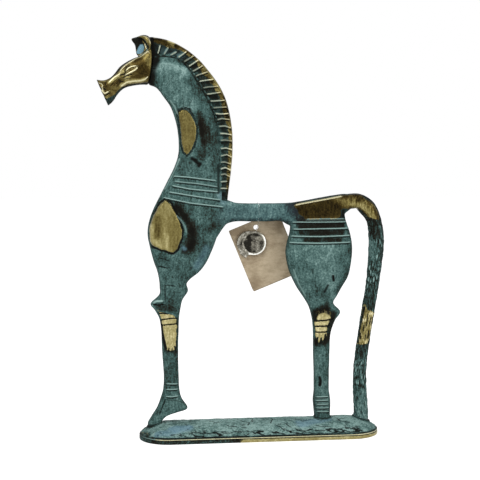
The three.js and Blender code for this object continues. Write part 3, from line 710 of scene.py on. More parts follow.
        ([(45, 103), (45, 92), (46, 84)], 22, {"patina": 0.7}),
        ([(36, 90), (41, 78)], 8, {"patina": 0.56}),
        ([(63.5, 112), (65, 100), (62, 86), (57, 77)], 3.4, {"patina": 0.42}),
        ([(46, 75), (46, 70)], 7, {"patina": 0.5}),
        ([(35, 119.0), (57, 119.0)], 4.6, {"patina": 0.05, "dark": 0.3}),
        ([(33.8, 116.3), (58, 116.3)], 3.4, {"patina": 0.06, "dark": 0.45}),
        ([(34.2, 112.1), (58, 112.0)], 3.0, {"patina": 0.1, "dark": 0.4}),
        ([(36.4, 107.9), (57, 107.7)], 2.4, {"patina": 0.14, "dark": 0.3}),
        ([(57.2, 127.5), (58.8, 124.5), (59.3, 121.8)], 2.6, {"dark": 0.9, "gold": 0.0}),
        ([(60.5, 126.6), (64.0, 126.0), (66.5, 126.4)], 2.2, {"dark": 1.0, "gold": 0.0}),
        ([(49, 67), (44, 64.5), (42.5, 60)], 3.8, {"patina": 0.08, "dark": 0.45}),
        ([(53.6, 63), (52.8, 56), (50.9, 48)], 3.0, {"patina": 0.1, "dark": 0.45}),
        ([(43, 46.5), (46, 45.5), (49.4, 46.5)], 3.0, {"patina": 0.14, "dark": 0.4}),
        # painted shade under the knee's spur
        ([(-50, 69.2), (-46, 68.4), (-41, 67.2)], 2.6, {"patina": 0.2, "dark": 0.2}),
        ([(-48.9, 60), (-48.4, 56), (-47.4, 50), (-45.6, 43.6)], 1.7, {"dark": 1.0}),
        ([(-39.4, 62), (-39.4, 54), (-40.2, 45)], 1.3, {"dark": 0.7}),
        ([(-45.4, 43.4), (-40.6, 42.6)], 2.4, {"patina": 0.2, "dark": 0.25}),
        ([(47.3, 38), (47.4, 22), (47.4, 12)], 7, {"patina": 0.55}),
        ([(45.8, 25.0), (46.4, 22.8), (46.0, 20.4)], 1.4, {"dark": 1.0}),
        # painted shadow where the fore foot meets the base
        ([(-58, -1.6), (-54, -1.8), (-49, -1.2)], 1.8, {"dark": 0.7}),
        ([(53.2, 86.2), (53.6, 83.6)], 1.2, {"dark": 1.0}),
        ([(50.2, 80.6), (49.0, 78.2), (48.2, 76.8)], 1.4, {"dark": 0.85}),
    ],
    # tones worked into the polished metal; their shine levels are painted reflections: a painted highlight along the
    # chest field's left edge and the rump's top, dark on the flat of the rump
    "polishedZones": [
        ([(-50.0, 63.0), (-48.9, 58.5), (-48.2, 54), (-47.0, 48.5), (-46.0, 44.4)], 1.05, {"dark": 1.0, "gold": 0.0}),
        ([(-40.2, 42.6), (-41.0, 45.6)], 0.7, crevice), ([(-39.9, 44), (-40.0, 48.6)], 0.6, crevice),
        ([(-42.6, 42.2), (-42.4, 44.4)], 0.6, {"dark": 0.9, "gold": 0.2}),
        ([(-44.6, 42.6), (-44.2, 44.6)], 0.6, {"dark": 0.9, "gold": 0.2}),
        ([(44.8, 64.2), (48.6, 65.4), (51.6, 63.6)], 2.2, {"dark": 0.6, "gold": 0.45}),
        ([(44.0, 46.0), (44.6, 49.0)], 0.9, crevice), ([(46.4, 46.0), (46.7, 48.8)], 0.8, crevice),
        ([(48.9, 47.4), (49.2, 50.8)], 0.9, crevice), ([(51.6, 57.6), (50.6, 55.2)], 0.9, crevice),
        ([(-50.5, 121), (-51, 112)], 3.6, {"shine": 0.36}),
        ([(-40.4, 120), (-40.4, 106)], 6.0, {"shine": 0.46}),
        ([(-45.8, 112), (-45.4, 104)], 2.0, {"shine": 0.68}),
        ([(-53.8, 117), (-54.2, 109), (-49, 104.6)], 1.5, {"shine": 0.7}),
        ([(56, 131.5), (61, 129.5), (66, 129.5)], 4.0, {"shine": 0.4}),
        ([(34, 125), (54, 126)], 6, {"shine": 0.08}),
    ],
    "bands": [
        [(-40.6, 145.7), (-32.8, 145.1), (-17.0, 143.1)], [(-39.8, 142.6), (-26.9, 141.3), (-16.1, 139.5)],
        [(-41.2, 140.1), (-31.6, 138.2), (-15.8, 136.6)], [(-43.0, 136.4), (-28.7, 134.0), (-14.2, 131.8)],
        [(-46.5, 133.2), (-31.7, 130.1), (-12.6, 127.7)],
        [(37.9, 120.1), (48.7, 120.2), (59.5, 120.1)], [(29.6, 118.4), (45.1, 118.3), (60.8, 118.3)],
        [(30.2, 114.2), (45.1, 114.4), (62.0, 114.5)], [(29.0, 110.1), (45.2, 109.8), (63.2, 110.2)],
        [(27.8, 106.3), (45.2, 105.9), (63.3, 106.2)],
    ],
    "rings": [
        [(-45.2, 23.4), (-39.8, 23.2)], [(-45.3, 20.0), (-39.6, 20.0)], [(-45.6, 15.9), (-43.4, 15.6), (-39.4, 15.9)],
        [(44.4, 13.2), (50.6, 13.3)], [(44.4, 11.0), (50.8, 11.1)], [(44.6, 8.7), (50.8, 8.7)],
        [(44.6, 6.5), (51.0, 6.5)], [(45.0, 4.3), (51.0, 4.2)],
    ],
    # how a band and a ring are cut: half width, height of the ridge, and how far below it the cut lies
    "band": {"width": 0.36, "rise": 0.32, "drop": 0.85, "pale": 0.85, "black": 0.8},
    "ring": {"width": 0.36, "rise": 0.3, "drop": 0.8, "pale": 0.85, "black": 0.85},
    "cutBelow": (1.15, 0.7), "faintBands": (1, 5), "faintPale": 0.6,
    # strokes: family, line, half width, height, strength
    "strokes": [
        ("cut", [(-49.8, 65.1), (-48.0, 65.4), (-45.1, 65.0)], 0.4, -0.35, 1.0),
        ("cut", [(-49.0, 61.1), (-47.6, 61.7), (-45.5, 61.9), (-43.5, 62.3), (-39.9, 62.2)], 0.4, -0.35, 1.0),
        ("cut", [(-48.2, 58.2), (-44.9, 58.5), (-42.7, 58.7), (-39.6, 58.9)], 0.4, -0.35, 1.0),
        ("cut", [(42.4, 58.8), (44.5, 59.1), (47.2, 59.3), (50.1, 59.5), (53.4, 60.1)], 0.52, -0.35, 1.0),
        ("cut", [(43.0, 55.6), (46.1, 55.9), (49.2, 55.9), (51.8, 56.3)], 0.52, -0.35, 1.0),
        ("cut", [(42.8, 52.4), (46.1, 52.2), (48.8, 52.3), (50.8, 52.7)], 0.52, -0.35, 0.9),
        ("cut", [(-48.9, 97.6), (-46.5, 97.3), (-44.1, 96.4)], 0.4, -0.3, 0.7),
        ("cut", [(-49.9, 93.0), (-47.7, 92.8), (-45.8, 92.2)], 0.45, -0.3, 0.85),
        ("cut", [(-41.2, 81.4), (-44.0, 81.9), (-46.6, 81.7), (-46.3, 73.4)], 0.4, -0.3, 0.75),
        ("cut", [(-35.6, 192.0), (-35.0, 186.0), (-34.6, 181.0)], 0.3, -0.05, 0.4),
        ("cut", [(-30.0, 190.0), (-33.4, 184.6)], 0.3, -0.05, 0.35),
        ("cut", [(-45.0, 198.5), (-41.0, 203.0)], 0.3, -0.05, 0.35),
        # the cut under the spur is partly painted shadow
        ("cut", [(-53.4, 70.6), (-50.0, 70.4), (-47.6, 70.6)], 0.5, -0.35, 1.0),
        ("cut", [(-46.5, 14.1), (-47.3, 11.9), (-48.3, 9.9), (-49.1, 7.5), (-50, 5.3)], 0.4, -0.3, 0.8),
        ("cut", [(-45.6, 13.6), (-40, 13.2), (-36.6, 12.0)], 0.35, -0.2, 0.5),
        ("cut", [(-38.2, 183.2), (-36.4, 184.6), (-33.4, 184.9), (-31.6, 184.0), (-30.2, 181.4)], 0.9, -0.2, 0.95),
        # the lips are pale lines along the neck's top, left edges, the chest's ridge, the spur's top and the rump's
        # top, partly painted highlights
        ("lip", [(-47.0, 210.6), (-42.9, 210.3), (-38.5, 208.7), (-35.2, 206.6)], 0.5, 0.15, 0.4),
        ("lip", [(-42.6, 189.3), (-40.1, 185.7), (-38.7, 182.1)], 0.5, 0.1, 0.4),
        ("lip", [(-37.6, 155.5), (-40.0, 150.4), (-43.0, 144.5), (-46.2, 138.4)], 0.6, 0.1, 0.6),
        ("lip", [(-39.4, 122.7), (-37.2, 120.3), (-34.8, 116.4), (-34.0, 113.4)], 0.5, 0.25, 0.3),
        ("lip", [(-53.0, 71.9), (-51.2, 72.6), (-48.2, 72.7)], 0.6, 0.3, 0.95),
        ("lip", [(31.4, 128.5), (34.8, 129.2), (46.6, 131.3), (58.2, 133.3)], 0.42, 0.12, 0.9),
        ("lip", [(29.8, 90), (32.6, 82.2), (37.2, 74.2)], 0.45, 0.1, 0.4),
    ],
    # where the piece is parted: the neck above a height, the foreleg in front of a length
    "neckSplit": 150.0, "barSplit": 8.8, "splitReach": 2.0,
}
polishing = {
    "ragged": (2.2, 5), "clears": 0.9, "rimOut": 0.7, "rimWidth": 0.65, "ground": 0.65, "groundFrom": (-0.48, 1.2),
}


# Raised band with a cut line under it, as two strokes: the band's pale line is partly a painted highlight, and the
# cut's black partly painted shadow under it.
def bandStrokes(line, kind, pale):
    wider, lower = body["cutBelow"]
    below = [(x, z - kind["drop"]) for x, z in line]
    return [("cut", below, kind["width"] * wider, -kind["rise"] * lower, kind["black"]),
            ("lip", line, kind["width"], kind["rise"], pale)]


# Polishes a field: inside its outline the metal shows and the face is ground towards a flat one, and a
# black line runs round it.
def polishField(points, field, tones, face):
    depth = within(points[:, [0, 2]], field["outline"]) + lumps(points, *polishing["ragged"]) * field["ragged"]
    mask = overEdge(depth, field["fade"]) * face
    tones.mixTo(mask, shine=field["shine"])
    tones.raiseTo("gold", mask)
    tones.values["dark"] *= 1 - polishing["clears"] * mask
    if field["rim"]:
        out = depth + polishing["rimOut"]
        tones.stroke("cut", np.abs(out), np.sign(out), polishing["rimWidth"], field["rim"] * face)
    if field["flat"]:
        level = np.sign(points[:, 1]) * field["flat"]
        ground = (level - points[:, 1]) * polishing["ground"]
        points[:, 1] += ground * fade(depth, *polishing["groundFrom"]) * face


# Four runs of rings, fused into one skin. Each vertex moves along its normal by the roughness of the cast
# skin and by the strokes, and the skin is then parted into three pieces.
def bodyCasting():
    parts = []
    for limb in ("fore", "hind", "back", "core"):
        t = np.linspace(0, 1, body["ringsPerSpan"] * (len(body[limb]) - 1) + 1)
        parts.append(skin(plateGrid(body[limb], t, body["sides"], body["roundness"])))
    points, faces = fuse(parts, body["pitch"], body["smoothing"])
    print("body fused:", len(points), "vertices")
    normals = normalsOf(points, faces)
    right, up, flatness = normals[:, 0], normals[:, 2], np.abs(normals[:, 1])
    face, edge = fade(flatness, *body["face"]), fade(flatness, *body["edge"])
    tones = Tones(len(points))
    rise = uneven(points, body["skin"])
    wash(points, body["zones"], tones)
    # Painted light and shade on the edges: the left edges paler, all edges darker, most to the right and underneath,
    # least along the neck's crest, and the rump's upper edges dark too.
    tones.mixTo(edge * fade(right, *body["leftEdge"]) * body["leftShare"], patina=body["leftLitPatina"])
    neckTop = fade(points[:, 2], *body["neckTop"]) * fade(right, *body["neckTopRight"])
    lit = 1 - body["neckTopLess"] * neckTop
    dark = body["edgeShade"] + body["rightEdgeShade"] * fade(right, *body["rightEdge"])
    tones.raiseTo("dark", edge * dark * fade(up, *body["underEdge"]) * lit)
    tones.raiseTo("dark", edge * fade(points[:, 0], *body["rumpTop"]) * soft(up) * body["rumpEdgeShade"])
    for name in ("rump", "knee", "hock", "throat", "chest"):
        polishField(points, body["fields"][name], tones, face)
    wash(points, body["polishedZones"], tones, face)
    xz = points[:, [0, 2]]
    strokes = list(body["strokes"])
    for k, line in enumerate(body["bands"]):
        pale = body["faintPale"] if k in body["faintBands"] else body["band"]["pale"]
        strokes += bandStrokes(line, body["band"], pale)
    for line in body["rings"]:
        strokes += bandStrokes(line, body["ring"], body["ring"]["pale"])
    rise += work(xz, strokes, tones, face)
    moved = points + normals * rise[:, None]
    normals = normalsOf(moved, faces)
    middle = xz[faces[0]].mean(1)
    neck, fore = middle[:, 1] > body["neckSplit"], middle[:, 0] < body["barSplit"]
    cutPiece("neck", moved, faces[0][neck], normals, tones)
    cutPiece("chest_and_foreleg", moved, faces[0][fore & ~neck], normals, tones)
    cutPiece("haunch_and_hindleg", moved, faces[0][~fore & ~neck], normals, tones)


# Takes a set of faces out of a closed skin and closes each cut with a fan on the middle of its rim.
def cutPiece(name, points, quads, normals, tones):
    edges = edgesOf(quads)
    key = edges.min(1) * len(points) + edges.max(1)
    order, count = np.unique(key, return_counts=True)
    rim = edges[np.isin(key, order[count == 1])]
    used, index = np.unique(quads, return_inverse=True)
    renumber = np.zeros(len(points), int)
    renumber[used] = np.arange(len(used))
    atNeck = points[rim[:, 0], 2] > body["neckSplit"] - body["splitReach"]
    hubs, lids = [], []
    for group in (rim[atNeck], rim[~atNeck]):
        if len(group):
            hub = np.full(len(group), len(used) + len(hubs))
            hubs.append(points[np.unique(group)].mean(0))
            lids.append(np.column_stack([renumber[group[:, 1]], renumber[group[:, 0]], hub]))
    own = Tones(len(used) + len(hubs))
    own.values = {k: np.append(v[used], [0] * len(hubs)) for k, v in tones.values.items()}
    faces = [index.reshape(-1, 4), *lids]
    piece = addPiece(name, "horse", "patina_bronze", np.vstack([points[used], hubs]), faces, own, "body_casting")
    outside = np.array([hub - points[used].mean(0) for hub in hubs])
    outside /= np.linalg.norm(outside, axis=1)[:, None]
    piece.data.normals_split_custom_set_from_vertices(np.vstack([normals[used], outside]).tolist())


bodyCasting()

# Head, whose ears are scooped out, and whose lines are cut by hand

head = {
    "pitch": 0.27, "smoothing": 5,
    # how each form is drawn out: rings, sides and roundness
    "forms": {"skull": (90, 64, 2.4), "ears": (50, 48, 2.0), "web": (50, 48, 2.6)},
    "face": (0.15, 0.4), "edge": (0.62, -0.35), "edgeBare": 0.85, "edgeShade": 0.6,
    "patina": 0.3, "shine": 0.4, "cloud": (0.16, 4, 3), "washSeed": 17,
    "skin": [(0.10, 3.5, 61)], "hollowDepth": 0.5, "sunk": 0.05,
    # widths of the borders of the ear's hollow, of the sky seen through it, and of the chin's shade
    "hollowFade": 1.0, "skyFade": 0.8, "chinFade": 2.2, "chinRagged": (0.44, 1.5, 19), "seatWidth": 1.6,
    "seatPast": 1.3, "strokesAtLeast": 0.35,
    "hollowTones": {"gold": 0.0, "patina": 0.1, "dark": 0.45}, "skyTones": {"patina": 0.8, "dark": 0.0, "gold": 0.0},
    "chinTones": {"gold": 0.0, "patina": 0.3}, "chinDark": 0.4,
    "skull": [
        [-85.1, 201.4, -78.5, 186.3, 9], [-81.0, 201.0, -75.7, 188.8, 8.3], [-77.5, 202.4, -73.6, 191.9, 7.6],
        [-74.3, 205.4, -71.5, 194.5, 7.9], [-71.6, 208.9, -68.6, 196.6, 9.5], [-68.3, 211.3, -65.5, 197.6, 11.4],
        [-64.0, 213.6, -61.2, 198.3, 13], [-59.5, 215.5, -58.0, 198.5, 13.5], [-54.2, 221.5, -55.6, 198.6, 13],
        [-53.2, 220.5, -54.4, 201.0, 12], [-52.8, 217.0, -53.4, 205.0, 10],
    ],
    "ears": [
        [-61.9, 225.8, -61.4, 225.2, 4.5], [-58.4, 227.1, -58.7, 223.8, 9.5], [-55.0, 226.4, -56.9, 221.2, 13.5],
        [-52.9, 223.6, -55.9, 218.9, 13.5], [-53.2, 219.0, -57.2, 216.8, 13],
    ],
    "web": [
        [-64.8, 225.0, -64.8, 224.0, 2.5], [-62.9, 225.6, -62.9, 221.3, 4.0], [-61.0, 226.0, -61.6, 215.5, 4.5],
        [-58.0, 226.0, -58.5, 214.5, 4.5], [-55.0, 224.0, -55.5, 214.5, 4.5],
    ],
    "zones": [
        # the shine levels are painted reflections: low on the flat cheek, and thin painted highlights along the nose,
        # the face and the jaw; the dark line along the muzzle's front edge is painted shade on its edge
        ([(-61, 210.5), (-58.5, 206.5), (-59, 203.8)], 8.0, {"shine": 0.15}),
        ([(-57, 214.5), (-54.6, 210)], 3.0, {"shine": 0.42}),
        ([(-75.5, 199.0), (-73.6, 199.8), (-72, 199.0)], 3.4, {"shine": 0.2}),
        ([(-78.5, 196.4), (-76.5, 194.6), (-74, 196)], 3.6, {"shine": 0.34}),
        ([(-79.5, 199.0), (-79.6, 196.0)], 1.8, {"shine": 0.16}),
        ([(-83.0, 198.8), (-80.2, 194.6)], 3.2, {"shine": 0.28}),
        ([(-84.6, 200.6), (-82.4, 200.9), (-80.2, 200.6)], 0.9, {"shine": 0.66}),
        ([(-77.6, 199.8), (-76.0, 201.0), (-74.4, 202.2), (-72.4, 203.2)], 1.6, {"shine": 0.68}),
        ([(-71.6, 205.2), (-70.2, 205.4)], 1.6, {"shine": 0.7}),
        ([(-71.0, 197.9), (-67.9, 199.6), (-64.0, 200.4), (-60.2, 200.6), (-57.6, 201.3)], 1.6, {"shine": 0.72}),
        ([(-68.6, 201.6), (-66.6, 202.2)], 1.2, {"shine": 0.7}),
        ([(-64.6, 206.8), (-63.6, 207.2)], 1.5, {"shine": 0.3}),
        ([(-57.0, 224.6), (-55.4, 222.6), (-54.4, 219.6)], 2.4, {"shine": 0.5}),
        ([(-84.9, 201.4), (-84.4, 199.8), (-83.2, 196.6), (-81.8, 193.2)], 0.8, {"dark": 0.55, "shine": 0.3}),
        ([(-74.6, 191.2), (-72.6, 194.2), (-69.8, 196.4)], 1.3, {"gold": 0.0, "patina": 0.3}),
    ],
    "seat": [(-55.2, 227), (-53.0, 223), (-52.2, 214), (-53.0, 205), (-55.0, 198)],
    "strokes": [
        # the lips are pale lines along ridges, partly painted highlights
        ("lip", [(-77.6, 199.9), (-76.3, 201.4), (-74.6, 202.7), (-72.0, 204.3)], 0.5, 0.25, 0.85),
        ("lip", [(-71.4, 206.0), (-70.3, 207.5), (-68.4, 209.3), (-65.9, 211.1), (-62.5, 213.2), (-59.7, 214.5),
            (-56.0, 216.8)], 0.36, 0.3, 0.6),
        ("cut", [(-77.4, 201.8), (-74.6, 204.4), (-72.4, 206.6), (-70.9, 209.0), (-67.5, 211.3), (-63.6, 213.6),
            (-60.0, 215.1)], 0.5, -0.2, 0.85),
        ("lip", [(-67.8, 206.6), (-66.8, 207.7), (-65.2, 208.5), (-62.8, 209.0)], 0.36, 0.35, 0.9),
        ("lip", [(-68.3, 203.9), (-66.9, 204.7), (-65.0, 205.6), (-63.0, 206.7), (-61.9, 207.8)], 0.4, 0.35, 0.9),
        ("cut", [(-69.9, 202.2), (-68.4, 203.2), (-66.9, 203.5), (-65.0, 204.1)], 0.4, -0.3, 0.9),
        ("cut", [(-71.2, 203.9), (-69.3, 204.2), (-68.6, 205.4)], 0.5, -0.35, 0.9),
        ("cut", [(-69.0, 206.2), (-68.2, 208.0), (-66.6, 209.4)], 0.35, -0.25, 0.6),
        ("cut", [(-69.2, 201.1), (-67.4, 201.7), (-65.8, 201.6)], 0.35, -0.2, 0.7),
        ("cut", [(-72.6, 201.4), (-71.4, 200.2), (-70.0, 199.9)], 0.45, -0.25, 0.8),
        ("cut", [(-80.0, 200.2), (-79.9, 198.7), (-79.4, 197.0)], 0.35, -0.15, 0.5),
        ("cut", [(-83.1, 195.9), (-81.8, 196.3), (-80.2, 195.6)], 0.55, -0.4, 0.95),
        ("cut", [(-81.4, 192.4), (-79.8, 192.0), (-77.9, 193.3)], 0.45, -0.3, 0.8),
        ("lip", [(-83.6, 199.2), (-82.6, 199.0), (-81.6, 198.0), (-81.9, 196.9)], 0.3, 0.15, 0.6),
        ("lip", [(-82.2, 194.9), (-80.3, 193.2), (-78.6, 194.2)], 0.42, 0.35, 0.9),
        ("lip", [(-82.0, 196.9), (-81.2, 195.0)], 0.36, 0.2, 0.7),
        ("cut", [(-75.3, 199.6), (-73.0, 201.9), (-71.8, 202.9)], 0.35, -0.15, 0.5),
        ("cut", [(-74.3, 198.3), (-71.7, 200.9)], 0.35, -0.15, 0.5),
        ("cut", [(-77.4, 197.1), (-75.5, 199.0)], 0.35, -0.15, 0.5),
        ("cut", [(-73.6, 197.1), (-71.2, 199.5)], 0.35, -0.15, 0.5),
        ("lip", [(-70.7, 197.7), (-67.9, 199.7), (-64.0, 200.4), (-60.2, 200.6), (-57.4, 201.4), (-56.0, 202.6)],
            0.42, 0.3, 0.8),
        ("cut", [(-69.8, 196.6), (-66.9, 198.2), (-59.8, 198.8), (-55.9, 199.3)], 0.5, -0.2, 0.85),
        ("lip", [(-62.9, 225.9), (-58.6, 226.4), (-55.3, 224.9), (-54.2, 221.9)], 0.35, 0.1, 0.4),
        ("lip", [(-60.4, 215.2), (-58.0, 216.2), (-56.3, 217.2)], 0.36, 0.3, 0.6),
        ("lip", [(-57.2, 221.6), (-56.5, 219.4), (-56.0, 218.7)], 0.36, 0.2, 0.8),
        ("lip", [(-56.0, 217.9), (-55.4, 217.2)], 0.4, 0.2, 0.8),
        ("cut", [(-60.2, 225.2), (-57.7, 223.3), (-56.6, 220.9)], 0.5, -0.3, 0.9),
        ("cut", [(-55.4, 221.4), (-55.0, 219.4), (-55.6, 216.6)], 0.35, -0.2, 0.6),
    ],
    "chin": [(-81.2, 191.6), (-79.3, 190.7), (-76.5, 191.7), (-73.9, 192.9), (-74.9, 189.5), (-77.7, 185.0),
        (-81.0, 187.1)],
    "hollow": [(-64.8, 225.2), (-62.4, 225.8), (-59.6, 224.8), (-57.9, 222.3), (-57.2, 219.5), (-58.2, 217.1),
        (-61.0, 215.8), (-62.0, 218.5), (-63.6, 221.8)],
    "sky": [(-62.2, 217.0), (-60.9, 219.8), (-59.8, 221.4), (-58.4, 221.6), (-57.6, 220.0), (-58.0, 217.8),
        (-59.4, 216.2), (-61.4, 215.9)],
}


# Three runs of rings, fused into one skin. Each vertex moves along its normal by roughness and strokes,
# less the depth of the ears' hollow.
def headCasting():
    parts = []
    for form, (rings, sides, roundness) in head["forms"].items():
        parts.append(skin(plateGrid(head[form], np.linspace(0, 1, rings), sides, roundness)))
    points, faces = fuse(parts, head["pitch"], head["smoothing"])
    normals = normalsOf(points, faces)
    xz, flatness = points[:, [0, 2]], np.abs(normals[:, 1])
    face, edge = fade(flatness, *head["face"]), fade(flatness, *head["edge"])
    tones = Tones(len(points), head["patina"])
    tones.values["gold"][:] = 1
    tones.values["shine"] = head["shine"] + drift(points, head["cloud"])
    wash(points, head["zones"], tones, seed=head["washSeed"])
    tones.mixTo(edge * head["edgeBare"], gold=0.0)
    # painted shade on the head's edges
    tones.raiseTo("dark", edge * head["edgeShade"])
    hollow = overEdge(within(xz, head["hollow"]), head["hollowFade"]) * face
    tones.mixTo(hollow, **head["hollowTones"])
    sky = overEdge(within(xz, head["sky"]), head["skyFade"]) * face
    tones.raiseTo("blue", sky)
    tones.mixTo(sky, **head["skyTones"])
    # painted shade in the groove where the head meets the neck
    tones.raiseTo("dark", soft(head["seatPast"] - toLine(xz, head["seat"])[0] / head["seatWidth"]))
    chin = overEdge(within(xz, head["chin"]) + drift(points, head["chinRagged"]), head["chinFade"])
    tones.mixTo(chin, **head["chinTones"])
    tones.raiseTo("dark", chin * head["chinDark"])
    rise = uneven(points, head["skin"]) - hollow * head["hollowDepth"] - head["sunk"]
    rise += work(xz, head["strokes"], tones, np.maximum(face, head["strokesAtLeast"]))
    addPiece("head", "horse", "polished_bronze", points + normals * rise[:, None], faces, tones, "head_casting")


headCasting()

# Mane comb

mane = {
    "along": 470, "depth": 1.05, "thick": 8.0, "rooted": 0.12, "patina": 0.3, "washSeed": 73,
    # across the band: points up to the land's edge and over it, where it starts and how round it is
    "across": (32, 13), "landFrom": 0.82, "landStart": 0.08, "landRound": 2.6,
    # masks across the band: the land, the root, the gilding, the valleys and the ridges
    "land": (0.9, -0.12), "root": (-0.04, 0.06), "gild": (0.5, 0.3), "inner": (0.82, -0.35), "seam": (0.05, -0.06),
    "tooth": (0.93, -0.1), "pits": (0.5, 0.2), "lip": (0.03, 0.08), "valley": (0.5, 0.6),
    # half width of a ridge, and the dark line on its lower side, a painted shadow
    "crest": 0.85, "ridge": 0.46, "toothLine": (0.95, 0.5), "landDrop": 0.1,
    # how the ridges differ in strength, and the bright line along the outer edge, partly a painted highlight: place
    # and half width
    "strength": (0.72, 0.28, 2.4), "trimAt": 0.35, "trimWidth": 0.3, "trimReach": 8, "trimShare": 0.5,
    # shares, sizes and seeds of the clouds
    "gildWander": (0.12, 4, 71), "gildCloud": (0.25, 3, 72), "valleyDark": (0.45, 2.5, 76),
    "shineClouds": [(0.16, 5, 74), (0.2, 1.4, 79)], "shine": 0.33, "pitClouds": (2.0, 1.8, 78), "pitDark": 0.75,
    "trimClouds": (2, 6, 77), "valleyLeast": 0.6, "seamDark": 0.5, "skin": [(0.1, 4, 75)], "sunk": 0.05,
    "rows": [
        [-52.3, 225.9, -51.7, 215.2], [-44.3, 224.4, -47.0, 215.3], [-35.2, 220.3, -38.0, 213.8],
        [-26.9, 214.2, -32.0, 208.6], [-19.8, 206.4, -27.6, 202.2], [-13.7, 197.9, -23.2, 195.2],
        [-9.9, 189.8, -19.6, 188.4], [-7.6, 181.1, -16.6, 181.0], [-6.3, 171.5, -14.5, 172.6],
        [-6.1, 161.0, -13.9, 162.4], [-7.0, 149.0, -13.9, 150.6], [-8.2, 139.5, -13.9, 141.4],
        [-9.2, 131.2, -13.9, 131.2],
    ],
    # crests of the ridges, from the seat outwards
    "ridges": [
        [(-49.7, 216.6), (-48.5, 220.6)], [(-46.9, 214.3), (-45.4, 217.2), (-43.9, 219.7)],
        [(-44.0, 214.2), (-41.7, 215.8), (-39.5, 217.1)],
        [(-39.7, 212.9), (-36.8, 215.0), (-33.7, 217.3)], [(-37.3, 209.8), (-33.6, 212.4), (-29.3, 215.0)],
        [(-33.2, 208.2), (-30.1, 210.3), (-26.7, 212.6)], [(-31.8, 205.5), (-28.4, 206.9), (-24.4, 209.3)],
        [(-29.8, 202.4), (-26.7, 204.1), (-21.4, 205.9)], [(-28.4, 199.4), (-24.5, 200.8), (-18.2, 201.7)],
        [(-24.8, 196.5), (-20.7, 197.3), (-15.3, 197.8)], [(-22.6, 193.1), (-19.2, 193.4), (-13.9, 194.3)],
        [(-20.7, 189.1), (-16.3, 189.3), (-11.6, 189.7)], [(-18.5, 185.2), (-15.3, 185.5), (-10.4, 185.8)],
        [(-16.8, 182.0), (-13.3, 181.7), (-9.2, 182.0)], [(-15.9, 178.2), (-12.7, 179.1), (-8.6, 178.6)],
        [(-15.1, 174.5), (-11.0, 174.8), (-8.0, 173.9)], [(-14.5, 170.4), (-11.0, 170.4), (-7.4, 169.8)],
        [(-13.6, 166.4), (-11.0, 166.6), (-6.9, 166.1)], [(-13.0, 161.7), (-10.4, 162.0), (-7.0, 161.1)],
        [(-13.3, 157.3), (-9.8, 158.2), (-7.0, 156.7)], [(-14.2, 153.6), (-11.0, 153.8), (-7.4, 152.7)],
        [(-13.3, 149.8), (-10.7, 150.6), (-7.7, 149.2)], [(-13.9, 146.3), (-11.0, 146.8), (-8.3, 145.4)],
        [(-13.9, 142.2), (-10.1, 142.5)], [(-14.2, 138.4), (-10.1, 138.4)],
    ],
    "zones": [
        ([(-49, 218.5), (-43, 218), (-37, 215)], 3.2, {"patina": 0.6, "blue": 0.12}),
        ([(-14.5, 172), (-14, 156), (-14.6, 140)], 3.4, {"patina": 0.58}),
        ([(-51, 223.5), (-46.5, 222.5)], 4.4, {"shine": 0.18, "dark": 0.2}),
        ([(-43, 223.6), (-40, 222.4)], 1.8, {"shine": 0.8}),
        ([(-37, 220.6), (-31, 217.6), (-27, 214.2)], 2.2, {"shine": 0.3}),
        ([(-22, 208), (-17, 202), (-14, 197)], 2.6, {"shine": 0.5}),
        ([(-8.6, 174), (-7.6, 160), (-8.6, 147)], 2.6, {"shine": 0.46}),
        # painted shade next to the back of the head
        ([(-52, 221), (-49.5, 219), (-49.5, 215.6)], 2.6, {"dark": 0.8, "gold": 0.0}),
        ([(-11.5, 134.5), (-11.5, 131)], 3.6, {"dark": 0.35, "gold": 0.0, "patina": 0.4}),
    ],
}


